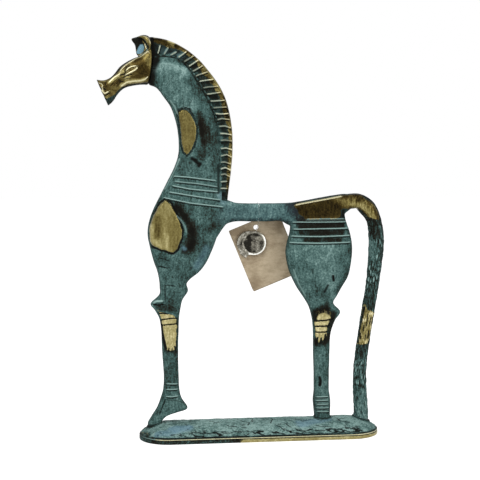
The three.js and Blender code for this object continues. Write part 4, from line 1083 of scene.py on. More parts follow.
# A band between two rails. Across it, share runs from inside its seat at below 0 to 1 at the outer edge,
# where the half thickness rounds off as a quarter superellipse. The faces sink between the crests of the
# ridges by a bell of the distance to the nearest crest.
def maneComb():
    t = np.linspace(0, 1, mane["along"])
    rows = np.asarray(mane["rows"], float)
    outer, inner = smoothLine(rows[:, :2], t), smoothLine(rows[:, 2:], t)
    start, (few, more), roundness = mane["landFrom"], mane["across"], mane["landRound"]
    over = np.sin(np.linspace(mane["landStart"], np.pi / 2, more))
    share = np.concatenate([np.linspace(-mane["rooted"], start, few), start + (1 - start) * over])
    fall = np.clip((share - start) / (1 - start), 0, 1)
    half = mane["thick"] / 2 * (1 - fall**roundness) ** (1 / roundness)
    share, half = np.append(share, share[-2::-1]), np.append(half, -half[-2::-1])
    point = inner[:, None, :] + (outer - inner)[:, None, :] * share[None, :, None]
    across = np.broadcast_to(share, point.shape[:2]).ravel()
    xz = point.reshape(-1, 2)
    distance, side, strength = np.full(len(xz), 99.0), np.ones(len(xz)), np.ones(len(xz))
    least, swing, pace = mane["strength"]
    for k, line in enumerate(mane["ridges"]):
        d, turn = toLine(xz, line)
        nearer = d < distance
        distance, side = np.where(nearer, d, distance), np.where(nearer, turn, side)
        strength = np.where(nearer, least + swing * np.cos(k * pace), strength)
    crest = np.exp(-((distance / mane["crest"]) ** 2))
    land = fade(across, *mane["land"]) * (1 - mane["landDrop"]) + mane["landDrop"]
    drop = mane["depth"] * (1 - crest) * land * fade(across, *mane["root"])
    y = np.broadcast_to(half, point.shape[:2]).ravel()
    y = np.sign(y) * np.maximum(np.abs(y) - drop, 0)
    points, faces = skin(np.stack([xz[:, 0], y, xz[:, 1]], -1).reshape(*point.shape[:2], 3))
    across, distance, side, strength = (np.append(v, [v[0], v[-1]]) for v in (across, distance, side, strength))
    tones = Tones(len(points), mane["patina"])
    gild = fade(across + drift(points, mane["gildWander"]), *mane["gild"])
    tones.values["gold"] = np.clip(gild + drift(points, mane["gildCloud"]), 0, 1)
    tones.values["shine"] = mane["shine"] + sum(drift(points, kind) for kind in mane["shineClouds"])
    wash(points, mane["zones"], tones, seed=mane["washSeed"])
    valley = fade(distance, *mane["valley"]) * fade(across, *mane["inner"])
    # painted shadow: a dark line along the lower side of each ridge
    tooth = nearTo(distance, *mane["toothLine"]) * (side < 0)
    tones.raiseTo("dark", valley * (mane["valleyLeast"] + drift(points, mane["valleyDark"])))
    tones.raiseTo("dark", fade(across, *mane["seam"]) * mane["seamDark"])
    tones.raiseTo("dark", tooth * fade(across, *mane["tooth"]))
    tones.raiseTo("dark", soft(drift(points, mane["pitClouds"])) * fade(across, *mane["pits"]) * mane["pitDark"])
    tones.stroke("lip", distance, side, mane["ridge"], np.clip(strength, 0, 1) * fade(across, *mane["lip"]))
    trim = (1 - across) * mane["trimReach"] - mane["trimAt"]
    shown = mane["trimShare"] * soft(drift(points, mane["trimClouds"]))
    tones.stroke("lip", np.abs(trim), np.sign(trim), mane["trimWidth"], shown)
    moved = points + normalsOf(points, faces) * (uneven(points, mane["skin"]) - mane["sunk"])[:, None]
    addPiece("mane", "horse", "mane_bronze", moved, faces, tones, "mane_comb")


maneComb()

# Tail rod

tail = {
    "rings": 560, "round": 96, "chips": 22, "chipLength": 4.2,
    # the rod is round, but squarer where it leaves the rump: how much, and up to where along its length
    "roundness": 2.0, "squarer": 0.9, "squareAt": (0.26, -0.16),
    # how the rows of chips wander round the rod: amplitude, wavelength and phase
    "waves": [(0.4, 5.1, 0), (0.15, 2.3, 1)], "chipSeed": 81,
    # masks: the cut between chips, which chips stand up, where the bark ends, and the gold of the arch
    "cut": (0.35, -0.35), "raised": (0.35, 0.4), "inChip": (0.55, -0.4), "bark": (124, -9), "archSlope": 0.3,
    "arch": (141.5, 4), "rumpSide": (70, -4), "rumpTop": (118, 3), "front": (0.4, -1.0), "pitFace": (0.3, -1.0),
    "side": (0.7, -0.3), "archDark": (95, 20),
    # how much chips raise and cuts lower the patina, the shine and the skin
    "patinaMoves": (0.54, 0.28), "shineMoves": (0.22, 0.2), "skinMoves": (0.2, 0.14),
    "patina": 0.47, "patinaCloud": (0.1, 8, 83),
    "skin": [(0.1, 2, 88, 3)], "sunk": 0.2, "skinLeast": 0.25, "shine": 0.24, "shineCloud": (0.16, 2.2, 84),
    "shineStretch": (1, 1, 0.7), "goldStretch": (1, 1, 0.4), "washSeed": 85, "polishedSeed": 86,
    "goldTones": {"shine": 0.62, "dark": 0.0}, "goldFade": 1.4, "goldRagged": [(1.6, 2.5, 87)],
    # which way the sides with painted shade look: level, and the parts of the normal along X and Z
    "topSide": (0.4, 0.5, 1.0), "rightSide": (0.4, 1.0, 0.6),
    "topShade": 0.9, "sideShade": 0.5, "pitWidth": 0.42, "pitDepth": 0.3, "pitBlack": 0.95,
    "rows": [
        [58.8, 133.9, 59.6, 126.4], [61.9, 134.5, 63.3, 125.7], [64.9, 134.9, 66.5, 125.9],
        [69.5, 134.9, 68.4, 125.8], [74.2, 133.2, 69.6, 124.4], [78.7, 129.8, 71.6, 122.2],
        [81.8, 124.5, 73.9, 119.3], [84.2, 117.1, 75.3, 115.3], [85.5, 108.5, 75.9, 107.5], [85.1, 99.0, 75.7, 98.0],
        [83.7, 87.5, 75.0, 86.5], [82.2, 76.5, 73.8, 76.0], [80.1, 63.5, 71.7, 63.5], [78.2, 51.5, 69.9, 51.5],
        [76.6, 40.5, 68.4, 40.5], [75.4, 27.5, 67.1, 27.5], [75.8, 15.5, 67.1, 15.5], [76.6, 5.0, 67.6, 5.0],
        [77.0, -5, 67.2, -5],
    ],
    "gold": [
        (72.7, 68.8), (73.9, 67.9), (74.3, 65.8), (77.4, 63.6), (80.2, 62.3), (79.4, 57.6), (77.8, 53), (77, 47.7),
        (74.5, 44.9), (71.5, 44.2), (68.8, 44.2), (68.5, 48.9), (69.4, 55.2), (70.4, 61.2), (71.2, 64.7),
    ],
    "zones": [
        # a painted highlight along the inner half of the arch
        ([(60, 128.0), (66, 128.6), (71, 127.4), (75.6, 123.8), (77.8, 119.0)], 2.6, {"shine": 0.56}),
        ([(60, 125.6), (66, 125.6), (70.4, 124.2), (74, 120)], 1.5, {"dark": 0.8, "gold": 0.2}),
        ([(74.5, 122), (78, 116), (79.5, 111)], 5, {"patina": 0.14, "dark": 0.2}),
        ([(73, 134), (79, 130), (82.5, 124), (85, 115), (85.4, 106)], 2.6, {"dark": 0.85, "gold": 0.2}),
        ([(76.8, 104), (76.5, 96)], 4, {"patina": 0.56}),
        ([(84.8, 108), (84.0, 96), (82.6, 86)], 2.2, {"dark": 0.55}),
        ([(77, 72), (76, 69)], 6, {"patina": 0.2, "dark": 0.3}),
        ([(73, 42.5), (71, 40)], 5, {"patina": 0.18, "dark": 0.25}),
        ([(72, 12), (72.5, 2)], 8, {"patina": 0.62}),
    ],
    "polishedZones": [
        ([(73.0, 66.6), (71.8, 61), (70.0, 52), (69.2, 45.4)], 1.0, {"dark": 0.8, "gold": 0.2}),
        ([(78.9, 61.6), (78.4, 57.0)], 0.8, {"dark": 0.8, "gold": 0.2}),
        ([(72.0, 60.4), (71.4, 57.0)], 0.6, {"dark": 0.8}),
        ([(76.4, 50.4), (75.6, 47.6)], 0.7, {"dark": 0.8}), ([(74.8, 66.0), (74.4, 64.0)], 0.6, {"dark": 0.8}),
    ],
    "pits": [
        [(75.0, 62.5), (74.6, 58.0), (74.2, 55.5)], [(77.2, 60.5), (76.5, 56.5)], [(72.6, 56.0), (72.3, 52.5)],
        [(76.0, 52.5), (75.4, 48.5)], [(73.8, 50.0), (73.4, 47.0)], [(70.6, 51.0), (70.4, 47.8)],
        [(78.4, 58.0), (78.0, 55.5)],
    ],
}


# Round rod whose skin is broken into short bark chips: cells in (round, along), of which some stand up
# pale and the others lie low and dark. Each vertex moves along its normal by its chip's height, less the
# cuts between the chips.
def tailRod():
    rows = np.asarray(tail["rows"], float)
    rows = np.column_stack([rows, np.hypot(rows[:, 0] - rows[:, 2], rows[:, 1] - rows[:, 3])])
    t = np.linspace(0, 1, tail["rings"])
    grid = plateGrid(rows, t, tail["round"], tail["roundness"] + tail["squarer"] * fade(t, *tail["squareAt"]))
    points, faces = skin(grid)
    run = np.append(0, np.cumsum(np.linalg.norm(np.diff(grid.mean(1), axis=0), axis=1)))
    around = np.arange(tail["round"]) / tail["round"] * tail["chips"]
    wave = sum(high * np.sin(run / long + phase) for high, long, phase in tail["waves"])
    uv = np.broadcast_arrays(around[None, :] + wave[:, None], run[:, None] / tail["chipLength"])
    uv = np.stack(uv, -1).reshape(-1, 2)
    first, second, own = cells(np.vstack([uv, uv[:1], uv[-1:]]), tail["chipSeed"], tail["chips"])
    cut = fade(second - first, *tail["cut"])
    chip = fade(own, *tail["raised"]) * fade(first, *tail["inChip"])

    def moves(name):
        up, down = tail[name]
        return chip * up - cut * down

    def facing(name):
        level, right, up = tail[name]
        return soft(level + normals[:, 0] * right + normals[:, 2] * up)

    length, height = points[:, 0], points[:, 2]
    bark = fade(height, *tail["bark"])
    normals = normalsOf(points, faces)
    tones = Tones(len(points), tail["patina"])
    tones.values["patina"] += (moves("patinaMoves") + drift(points, tail["patinaCloud"])) * bark
    arch = fade(height + tail["archSlope"] * length, *tail["arch"])
    tones.raiseTo("gold", np.maximum(arch, fade(length, *tail["rumpSide"]) * fade(height, *tail["rumpTop"])))
    tones.values["shine"] = tail["shine"] + drift(points * tail["shineStretch"], tail["shineCloud"])
    wash(points, tail["zones"], tones, seed=tail["washSeed"])
    depth = within(points[:, [0, 2]], tail["gold"]) + uneven(points * tail["goldStretch"], tail["goldRagged"])
    mask = overEdge(depth, tail["goldFade"]) * fade(normals[:, 1], *tail["front"])
    tones.raiseTo("gold", mask)
    tones.mixTo(mask, **tail["goldTones"])
    tones.values["shine"] += moves("shineMoves") * mask
    wash(points, tail["polishedZones"], tones, mask, tail["polishedSeed"])
    side = fade(np.abs(normals[:, 1]), *tail["side"])
    # painted shade on the rod's edges: those facing up along the top of the arch, and those facing right
    tones.raiseTo("dark", side * facing("topSide") * fade(height, *tail["archDark"]) * tail["topShade"])
    tones.raiseTo("dark", side * facing("rightSide") * tail["sideShade"])
    rise = moves("skinMoves") + uneven(points, tail["skin"]) - tail["sunk"]
    rise *= tail["skinLeast"] + (1 - tail["skinLeast"]) * bark
    pits = [("cut", line, tail["pitWidth"], -tail["pitDepth"], tail["pitBlack"]) for line in tail["pits"]]
    rise += work(points[:, [0, 2]], pits, tones, fade(normals[:, 1], *tail["pitFace"]))
    addPiece("tail", "horse", "tail_bronze", points + normals * rise[:, None], faces, tones, "tail_rod")


tailRod()

# Base plate

base = {
    "length": 144.0, "depth": 36.0, "middle": 10.1, "crest": 9.9, "rim": 3.5, "power": 2.2,
    # points along a straight side, round an end, up the rim, over the dome and under the base, and to how
    # many parts of a millimetre points are rounded where they merge
    "steps": 260, "bend": 110, "rimRings": 40, "domeRings": 56, "underRings": 12, "merge": 1000,
    "profile": [
        (17.4, 0), (17.75, 0.15), (17.95, 0.5), (17.95, 1.4), (17.95, 2.0), (17.75, 2.25), (17.75, 2.4), (17.9, 2.6),
        (17.9, 2.95), (17.75, 3.25), (17.45, 3.45), (17.1, 3.7), (17.0, 3.95), (16.9, 4.3),
    ],
    "zones": [
        ([(-58, -6), (-42, -8)], 16, {"patina": 0.8}),
        ([(38, 3), (56, 1), (72, -2)], 9, {"patina": 0.92}),
        ([(-43, -11.5), (-33, -10)], 4.4, {"patina": 0.8, "blue": 0.6}),
        ([(-52, -13), (-45, -14)], 3, {"patina": 0.7, "blue": 0.4}),
        ([(50, -4), (34, -9)], 5, {"patina": 0.85, "blue": 0.5}),
        ([(-60, 4), (-50, 14), (0, 16), (60, 16)], 5, {"patina": 0.36}),
        ([(-61, -4), (-58, -10)], 3, {"patina": 0.4, "gold": 0.4, "shine": 0.42}),
        ([(-60, 6), (-52, 13), (-38, 16.5), (-10, 16.8)], 3, {"gold": 0.38, "shine": 0.42}),
        ([(78, 6), (80, -2), (76, -10)], 4.5, {"patina": 0.68}),
    ],
    # cracks and flecks on the dome, as seen from above
    "cracks": [
        [(-20, -2), (-16, -5), (-14, -4)], [(-4, 2), (-1, -4), (3, -6), (2, -9)], [(2, 4), (6, 0), (5, -5)],
        [(14, 3), (18, -2), (16, -7)], [(24, -8), (27, -12)], [(19, -10), (23, -14)], [(30, -3), (36, -6), (40, -5)],
        [(-34, 2), (-28, -1), (-25, 1)], [(56, -2), (58, -7), (63, -9)], [(-10, -8), (-5, -10)],
        [(43, -11), (49, -12)], [(-31, -14.0), (-25, -15.0)], [(-22, -14.6), (-16, -14.2)],
        [(-14, -15.2), (-8, -14.6)], [(-6, -14.0), (-1, -15.0)], [(3, -14.8), (8, -13.8), (10, -14.6)],
        [(33, -15.0), (39, -14.2)], [(42, -15.2), (47, -14.6)], [(50, -14.0), (55, -15.0)],
    ],
    # heights where the dome and the brass band begin, and places of the thin lines along the rim: the pale line,
    # partly polished edge and partly painted highlight, the dark line in the small groove below it, the painted
    # shadow along the foot and the darker crease under the dome
    "dome": (3.6, 0.7), "side": (0, 0.3), "band": (2.15, -0.2), "seam": (2.25, 0.3), "foot": (0.5, -1.0),
    "lipLine": 2.75, "lipWidth": 0.32, "lipGold": 0.6, "groove": (3.6, 0.6),
    # how far along the base the band, its ridge and its gold are worn off: x and width
    "worn": (-11, 9), "wornWander": (6, 9, 103), "lipFrom": (-64, 14), "lipGoldFrom": (-60, 14),
    # the way the dome's texture leans and how it is drawn out
    "slant": [[1, 0, 0.5], [0, 1, 0], [-0.5, 0, 1.0]], "stretch": (0.5, 1.0, 1.6), "fleckStretch": (0.5, 1.2, 1),
    # layers of the cast skin: height, size, seed and octaves
    "domeSkin": [(0.35, 4.5, 91)], "domeGrain": [(0.12, 1.3, 95, 3)], "domeSunk": 0.1,
    "rimSkin": [(0.05, 2.5, 97, 3)], "rimSunk": 0.07,
    "patina": 0.83, "patinaClouds": [(0.14, 9, 101)], "zoneWander": [(0.35, 5, 102)], "zoneSteep": 1.5,
    "rimShadedPatina": 0.3, "bandGold": 0.95, "bandShine": 0.66, "shineCloud": (0.1, 5, 105),
    # flecks: where they gather at the front and back, how many there are and how dark and deep they are
    "front": (12.5, 2.5), "frontFrom": (-48, 18), "fleckSize": (1.7, 107), "flecks": (0.28, 0.12), "more": 0.29,
    "fleckDark": 0.6, "frontDark": 0.3, "fleckDepth": 0.15,
    "crackWander": (0.7, 3), "crackSeeds": (104, 105), "crackWidth": 0.4, "crackDark": 0.8, "crackReach": 0.8,
    "crackDepth": 0.25, "lipBreaks": (0.9, 11, 106), "lipShare": 1.4,
    "grooveDark": (0.7, 0.3, 1), "grooveCloud": (1.3, 4, 108), "seamDark": 0.7, "footDark": 0.5,
}


# The base's points and faces: a stadium whose offset outlines carry a profile of (distance from the
# middle line, height) round it, then the dome, whose height falls from the crest with a power of the
# distance. Points that meet on the middle line are merged.
def stadium():
    half = (base["length"] - base["depth"]) / 2
    line = np.linspace(half, -half, base["steps"], endpoint=False)
    turn = np.linspace(0, np.pi, base["bend"], endpoint=False)
    x = np.concatenate([line, -half - 0 * turn, -line, half + 0 * turn])
    dx = np.concatenate([0 * line, -np.sin(turn), 0 * line, np.sin(turn)])
    dy = np.concatenate([0 * line + 1, np.cos(turn), 0 * line - 1, -np.cos(turn)])
    start, lift = base["profile"][-1]
    inner, count = base["profile"][0][0], base["underRings"]
    under = np.column_stack([np.linspace(0, inner, count, endpoint=False), np.zeros(count)])
    edge = smoothLine(base["profile"], np.linspace(0, 1, base["rimRings"]))
    share = np.linspace(1, 0, base["domeRings"])[1:]
    top = np.column_stack([start * share, base["crest"] - (base["crest"] - lift) * share ** base["power"]])
    r, h = np.vstack([under, edge, top]).T
    grid = np.stack([x[:, None] + dx[:, None] * r, dy[:, None] * r, np.broadcast_to(h, (len(x), len(h)))], -1)
    points = grid.reshape(-1, 3) + (base["middle"], 0, -base["crest"])
    keys, index = np.unique(np.round(points * base["merge"]).astype(int), axis=0, return_inverse=True)
    kept = np.zeros((len(keys), 3))
    kept[index.ravel()] = points
    quads = index.ravel()[gridQuads(*grid.shape[:2], True, False)]
    tris = np.vstack([quads[:, [0, 1, 2]], quads[:, [0, 2, 3]]])
    tris = tris[(tris[:, 0] != tris[:, 1]) & (tris[:, 1] != tris[:, 2]) & (tris[:, 0] != tris[:, 2])]
    return outward(kept, [tris])


# Each vertex moves along its normal: on the dome by a leaning roughness, less the flecks and the cracks,
# and on the rim by a finer one. The underside stays flat.
def basePlate():
    points, faces = stadium()
    x, plan, height = points[:, 0], points[:, :2], points[:, 2] + base["crest"]
    dome = fade(height, *base["dome"])
    rim = 1 - dome
    slanted = points @ np.array(base["slant"]) * base["stretch"]
    rise = dome * (uneven(slanted, base["domeSkin"]) + uneven(points, base["domeGrain"]) - base["domeSunk"])
    rise += rim * fade(height, *base["side"]) * (uneven(points, base["rimSkin"]) - base["rimSunk"])
    tones = Tones(len(points))
    tones.values["patina"] = base["patina"] + uneven(slanted, base["patinaClouds"])
    ripple = uneven(points, base["zoneWander"])
    for zone, width, colours in base["zones"]:
        mask = soft((1 - toLine(plan, zone)[0] / width + ripple) * base["zoneSteep"])
        tones.mixTo(mask * dome, **colours)
    front = fade(np.abs(points[:, 1]), *base["front"]) * fade(x, *base["frontFrom"])
    specks = rough(slanted * base["fleckStretch"], *base["fleckSize"]) + base["more"] * front
    flecks = dome * fade(specks, *base["flecks"])
    tones.raiseTo("dark", flecks * (base["fleckDark"] + base["frontDark"] * front))
    rise -= flecks * base["fleckDepth"]
    share, size = base["crackWander"]
    wander = np.stack([share * lumps(points, size, seed) for seed in base["crackSeeds"]], -1)
    for crack in base["cracks"]:
        distance, side = toLine(plan + wander, crack)
        tones.stroke("cut", distance, side, base["crackWidth"], base["crackDark"] * dome)
        rise -= dome * soft(1 - distance / base["crackReach"]) * base["crackDepth"]
    band = fade(height, *base["band"]) * rim
    worn = fade(x + drift(points, base["wornWander"]), *base["worn"])
    # painted shade: the upright rim's patina is darker
    tones.mixTo(rim, patina=base["rimShadedPatina"])
    tones.mixTo(band, gold=base["bandGold"] * worn, shine=base["bandShine"])
    tones.values["shine"] += drift(points, base["shineCloud"])
    # a pale line along the rim's top, partly polished edge and partly painted highlight
    off = height - base["lipLine"]
    whole = soft(base["lipShare"] - np.abs(drift(points, base["lipBreaks"])))
    tones.stroke("lip", np.abs(off), np.sign(off), base["lipWidth"], fade(x, *base["lipFrom"]) * whole)
    tones.raiseTo("gold", nearTo(height, base["lipLine"], base["lipGold"]) * fade(x, *base["lipGoldFrom"]))
    # darker along the crease where the rim meets the dome, by a cloud
    middle, least, most = base["grooveDark"]
    grooveDarkness = np.clip(middle + drift(points, base["grooveCloud"]), least, most)
    tones.raiseTo("dark", nearTo(height, *base["groove"]) * grooveDarkness)
    # a dark line in the small groove under the pale line
    tones.raiseTo("dark", nearTo(height, *base["seam"]) * base["seamDark"])
    # painted shadow along the rim's foot
    tones.raiseTo("dark", fade(height, *base["foot"]) * base["footDark"])
    moved = points + normalsOf(points, faces) * rise[:, None]
    moved[:, 2] = np.where(height < 1e-6, points[:, 2], moved[:, 2])
    addPiece("base", "horse", "base_bronze", moved, faces, tones, "base_plate")


basePlate()

# Collars of braze

collars = {
    "width": 0.55, "height": 0.8, "gap": 0.2, "points": 96,
    # rings below and on the dome, how they swell, and the last two, which close the collar inside the foot
    "below": (-0.7, 8), "above": (0.05, 16), "taper": 0.98, "swell": 0.7, "closeAt": 0.9, "inside": -0.4,
    "skin": (0.2, 2.2), "skinFrom": (-0.3, 0.5), "cloud": (0.2, 3), "nextSeed": 20, "darkFrom": 0.1, "dark": 0.8,
    "feet": [
        ("fore_foot_collar", "fore_foot_braze", body["fore"], 3.0, 111),
        ("hind_foot_collar", "hind_foot_braze", body["hind"], 3.0, 112),
        ("tail_foot_collar", "tail_foot_braze", tail["rows"], 2.0, 113),
    ],
}


# Height of the dome at (x, y), from its crest.
def domeTop(x, y):
    straight = (base["length"] - base["depth"]) / 2
    away = np.hypot(np.maximum(0, np.abs(x - base["middle"]) - straight), y)
    return -(base["crest"] - base["rim"]) * (away / (base["depth"] / 2)) ** base["power"]


# Rings round a foot: superellipses a swell wider than the foot, which shrinks with a power of the height
# above the dome. The last two close the collar back down inside the foot.
def brazeCollar(name, node, rows, roundness, seed):
    last, high = np.asarray(rows[-1], float), collars["height"]
    thick = last[4] if len(last) > 4 else np.hypot(last[0] - last[2], last[1] - last[3])
    middle, half = (last[0] + last[2]) / 2, abs(last[2] - last[0]) / 2
    (low, fewer), (start, more) = collars["below"], collars["above"]
    level = np.concatenate([np.linspace(low, 0, fewer), np.linspace(start, high, more)])
    swell = (1 - np.maximum(level, 0) / high * collars["taper"]) ** collars["swell"]
    swell = collars["gap"] + collars["width"] * swell
    level = np.append(level, [high * collars["closeAt"], low])
    swell = np.append(swell, [collars["inside"]] * 2)
    c, s = superellipse(ringAngles(collars["points"]), roundness)
    x, y = middle + (half + swell)[:, None] * c, (thick / 2 + swell)[:, None] * s
    points, faces = skin(np.stack([x, y, domeTop(x, y) + level[:, None]], -1))
    above = points[:, 2] - domeTop(points[:, 0], points[:, 1])
    rise = uneven(points, [(*collars["skin"], seed)]) * fade(above, *collars["skinFrom"])
    tones = Tones(len(points))
    tones.values["patina"] += drift(points, (*collars["cloud"], seed + collars["nextSeed"]))
    tones.raiseTo("dark", soft(above / high + collars["darkFrom"]) * collars["dark"])
    moved = points + normalsOf(points, faces) * rise[:, None]
    addPiece(name, "horse", "braze", moved, faces, tones, node)


for foot in collars["feet"]:
    brazeCollar(*foot)

# Hang tag, its loop and its seal

tag = {
    "x": 8.8, "barMiddle": 124.05, "width": 32.0, "height": 40.8, "thick": 0.6, "hole": 3.0, "fromTop": 4.3,
    "tilt": 22.6, "lean": 7.5, "holeZ": 114.7, "cardMid": 5.953, "rays": 240, "rings": 60, "crowded": 1.25,
    # how thin the cut edge gets and from where, and how the card curls: height, level share and length
    "edgeThin": 0.35, "edgeFrom": (0.985, 0.015), "curl": 0.25, "curlLevel": 0.3, "curlOver": 30,
    # shades on the face, below the loop: middle, reach and strength
    "shades": [((-8, 2), 13, 0.45), ((-6, -9), 14, 0.5)], "darkest": 0.75,
}
thread = {
    # radius of the loop over the bar, thickness, rings and sides, and how far below the hole the seal hangs
    "loop": 5.902, "thick": 0.6, "points": 260, "sides": 16, "sealBelow": 2,
    # the arc over the bar: degrees and how far outside the loop's radius
    "arc": [(-165, 1.6), (-130, 0), (-90, 0), (-50, 0), (-10, 0), (30, 0), (65, 0), (95, 0.6)],
    # behind the card and through its hole: distance from the card's back or middle, and height at the hole
    "behind": [(0.2, 2.6, 2.6), (0.1, 0, 0.9)], "through": [(-0.1, -0.2), (-1.2, -0.7)],
}
seal = {
    "gap": 0.3, "diameter": 14.5, "rim": 0.6, "dome": 1.3, "offset": 3.0, "swing": -0.4, "strap": (5.0, 1.2, 4.0),
    "strapTurn": 35.0, "sides": 120, "rings": (12, 60), "strapRings": 12, "strapSides": 48, "strapRound": 6.0,
    # the shell's profile: share of the radius, and height as shares of the rim's and of the dome's
    "inside": 0.02, "back": -0.1, "turn": 0.1,
    "profile": [(0.96, "back", 1), (1, "turn", 1), (1, "rim", 0.7), (0.92, "rim", 1), (0.82, "rim", 0.8),
                (0.45, "dome", 0.85)],
    # dents: how far in they begin, their size, seed, octaves and depth
    "pressed": 0.9, "crumple": (2.4, 121, 3), "depth": 0.28,
    # a painted highlight: a bright crescent inside the rim, on the lower right of each shell; and painted shade on
    # the left and top of the front shell
    "bright": (0.84, 0.5), "brightSide": (-3, 6), "shine": (0.42, 0.55, 0.12),
    "left": (-0.1, -0.4), "top": (0.5, 0.3), "topShare": 0.7, "dark": (0.08, 0.95, 0.9), "strapTones": (0.5, 0.2),
}
leanTan = np.tan(np.radians(tag["lean"]))


# Where the card's middle lies in depth, at a height: it leans on the back of the plate.
def cardY(z):
    return tag["cardMid"] + (tag["barMiddle"] - z) * leanTan


# Turns points about Y by the tilt and then about X by the lean, in degrees.
def turned(points, tilt, lean):
    a, b = np.radians(tilt), np.radians(lean)
    x, y, z = np.asarray(points, float).T
    x, z = x * np.cos(a) - z * np.sin(a), x * np.sin(a) + z * np.cos(a)
    return np.column_stack([x, y * np.cos(b) - z * np.sin(b), y * np.sin(b) + z * np.cos(b)])


# Ring-shaped sheet: rays from the punched hole to the card's outline, carried over both faces and both
# edges. curl bends it as a shallow arch that is flat along its top.
def hangTag():
    angle = ringAngles(tag["rays"], 0.5)
    ray = np.stack([np.cos(angle), np.sin(angle)], -1)
    top, low, side = tag["fromTop"], tag["fromTop"] - tag["height"], tag["width"] / 2
    reachX = side / np.maximum(np.abs(ray[:, 0]), 1e-9)
    reachZ = np.where(ray[:, 1] > 0, top, -low) / np.maximum(np.abs(ray[:, 1]), 1e-9)
    share = np.linspace(0, 1, tag["rings"]) ** tag["crowded"]
    r = tag["hole"] / 2 + (np.minimum(reachX, reachZ)[:, None] - tag["hole"] / 2) * share
    x, z = ray[:, 0:1] * r, ray[:, 1:2] * r
    half = tag["thick"] / 2 * (1 - tag["edgeThin"] * fade(share, *tag["edgeFrom"]))
    arch = tag["curl"] * ((x / side) ** 2 - tag["curlLevel"]) * soft((top - z) / tag["curlOver"])
    front, back = (np.stack([x, arch + face * half, z], -1) for face in (-1, 1))
    grid = np.concatenate([front, back[:, ::-1]], 1)
    own = grid.reshape(-1, 3)
    points, faces = outward(turned(own, tag["tilt"], tag["lean"]), [gridQuads(*grid.shape[:2], True, True)])
    points = points + (tag["x"], cardY(tag["holeZ"]), tag["holeZ"])
    tones = Tones(len(points))
    shade = sum(dark * soft(1 - np.hypot(*(own[:, [0, 2]] - at).T) / reach) for at, reach, dark in tag["shades"])
    tones.values["dark"] = np.clip(shade, 0, tag["darkest"]) * (own[:, 1] < 0)
    addPiece("card", "tag", "tag_card", points, faces, tones, "hang_tag")


# Where the loop holds the seal: in front of the card, a little below its hole.
def sealPlace():
    z = tag["holeZ"] - thread["sealBelow"]
    return cardY(z) - tag["thick"] / 2 - seal["gap"] - seal["dome"], z


# Round wire along a planar route of (y, z): over the bar, down behind the card, through its hole and out
# to the seal. Each ring lies across the route's tangent.
def tagThread():
    thick, (sealY, sealZ), holeZ = thread["thick"], sealPlace(), tag["holeZ"]
    route = [(sealY - thick, sealZ)]
    for degrees, out in thread["arc"]:
        a, radius = np.radians(degrees), thread["loop"] + out
        route.append((radius * np.sin(a), tag["barMiddle"] + radius * np.cos(a)))
    for gap, level, up in thread["behind"]:
        route.append((cardY(holeZ + level) + tag["thick"] / 2 + thick + gap, holeZ + up))
    route += [(cardY(holeZ) + y, holeZ + z) for y, z in thread["through"]]
    route.append((sealY + thick, sealZ))
    line = smoothLine(route, np.linspace(0, 1, thread["points"]))
    tangent = np.gradient(line, axis=0)
    tangent /= np.linalg.norm(tangent, axis=1)[:, None]
    across = np.stack([-tangent[:, 1], tangent[:, 0]], -1)
    angle = ringAngles(thread["sides"])
    yz = line[:, None, :] + across[:, None, :] * (thick / 2 * np.sin(angle))[None, :, None]
    x = np.broadcast_to(tag["x"] + thick / 2 * np.cos(angle), yz.shape[:2])
    points, faces = skin(np.stack([x, yz[..., 0], yz[..., 1]], -1))
    addPiece("thread", "loop", "clear_thread", points, faces, None, "tag_thread")


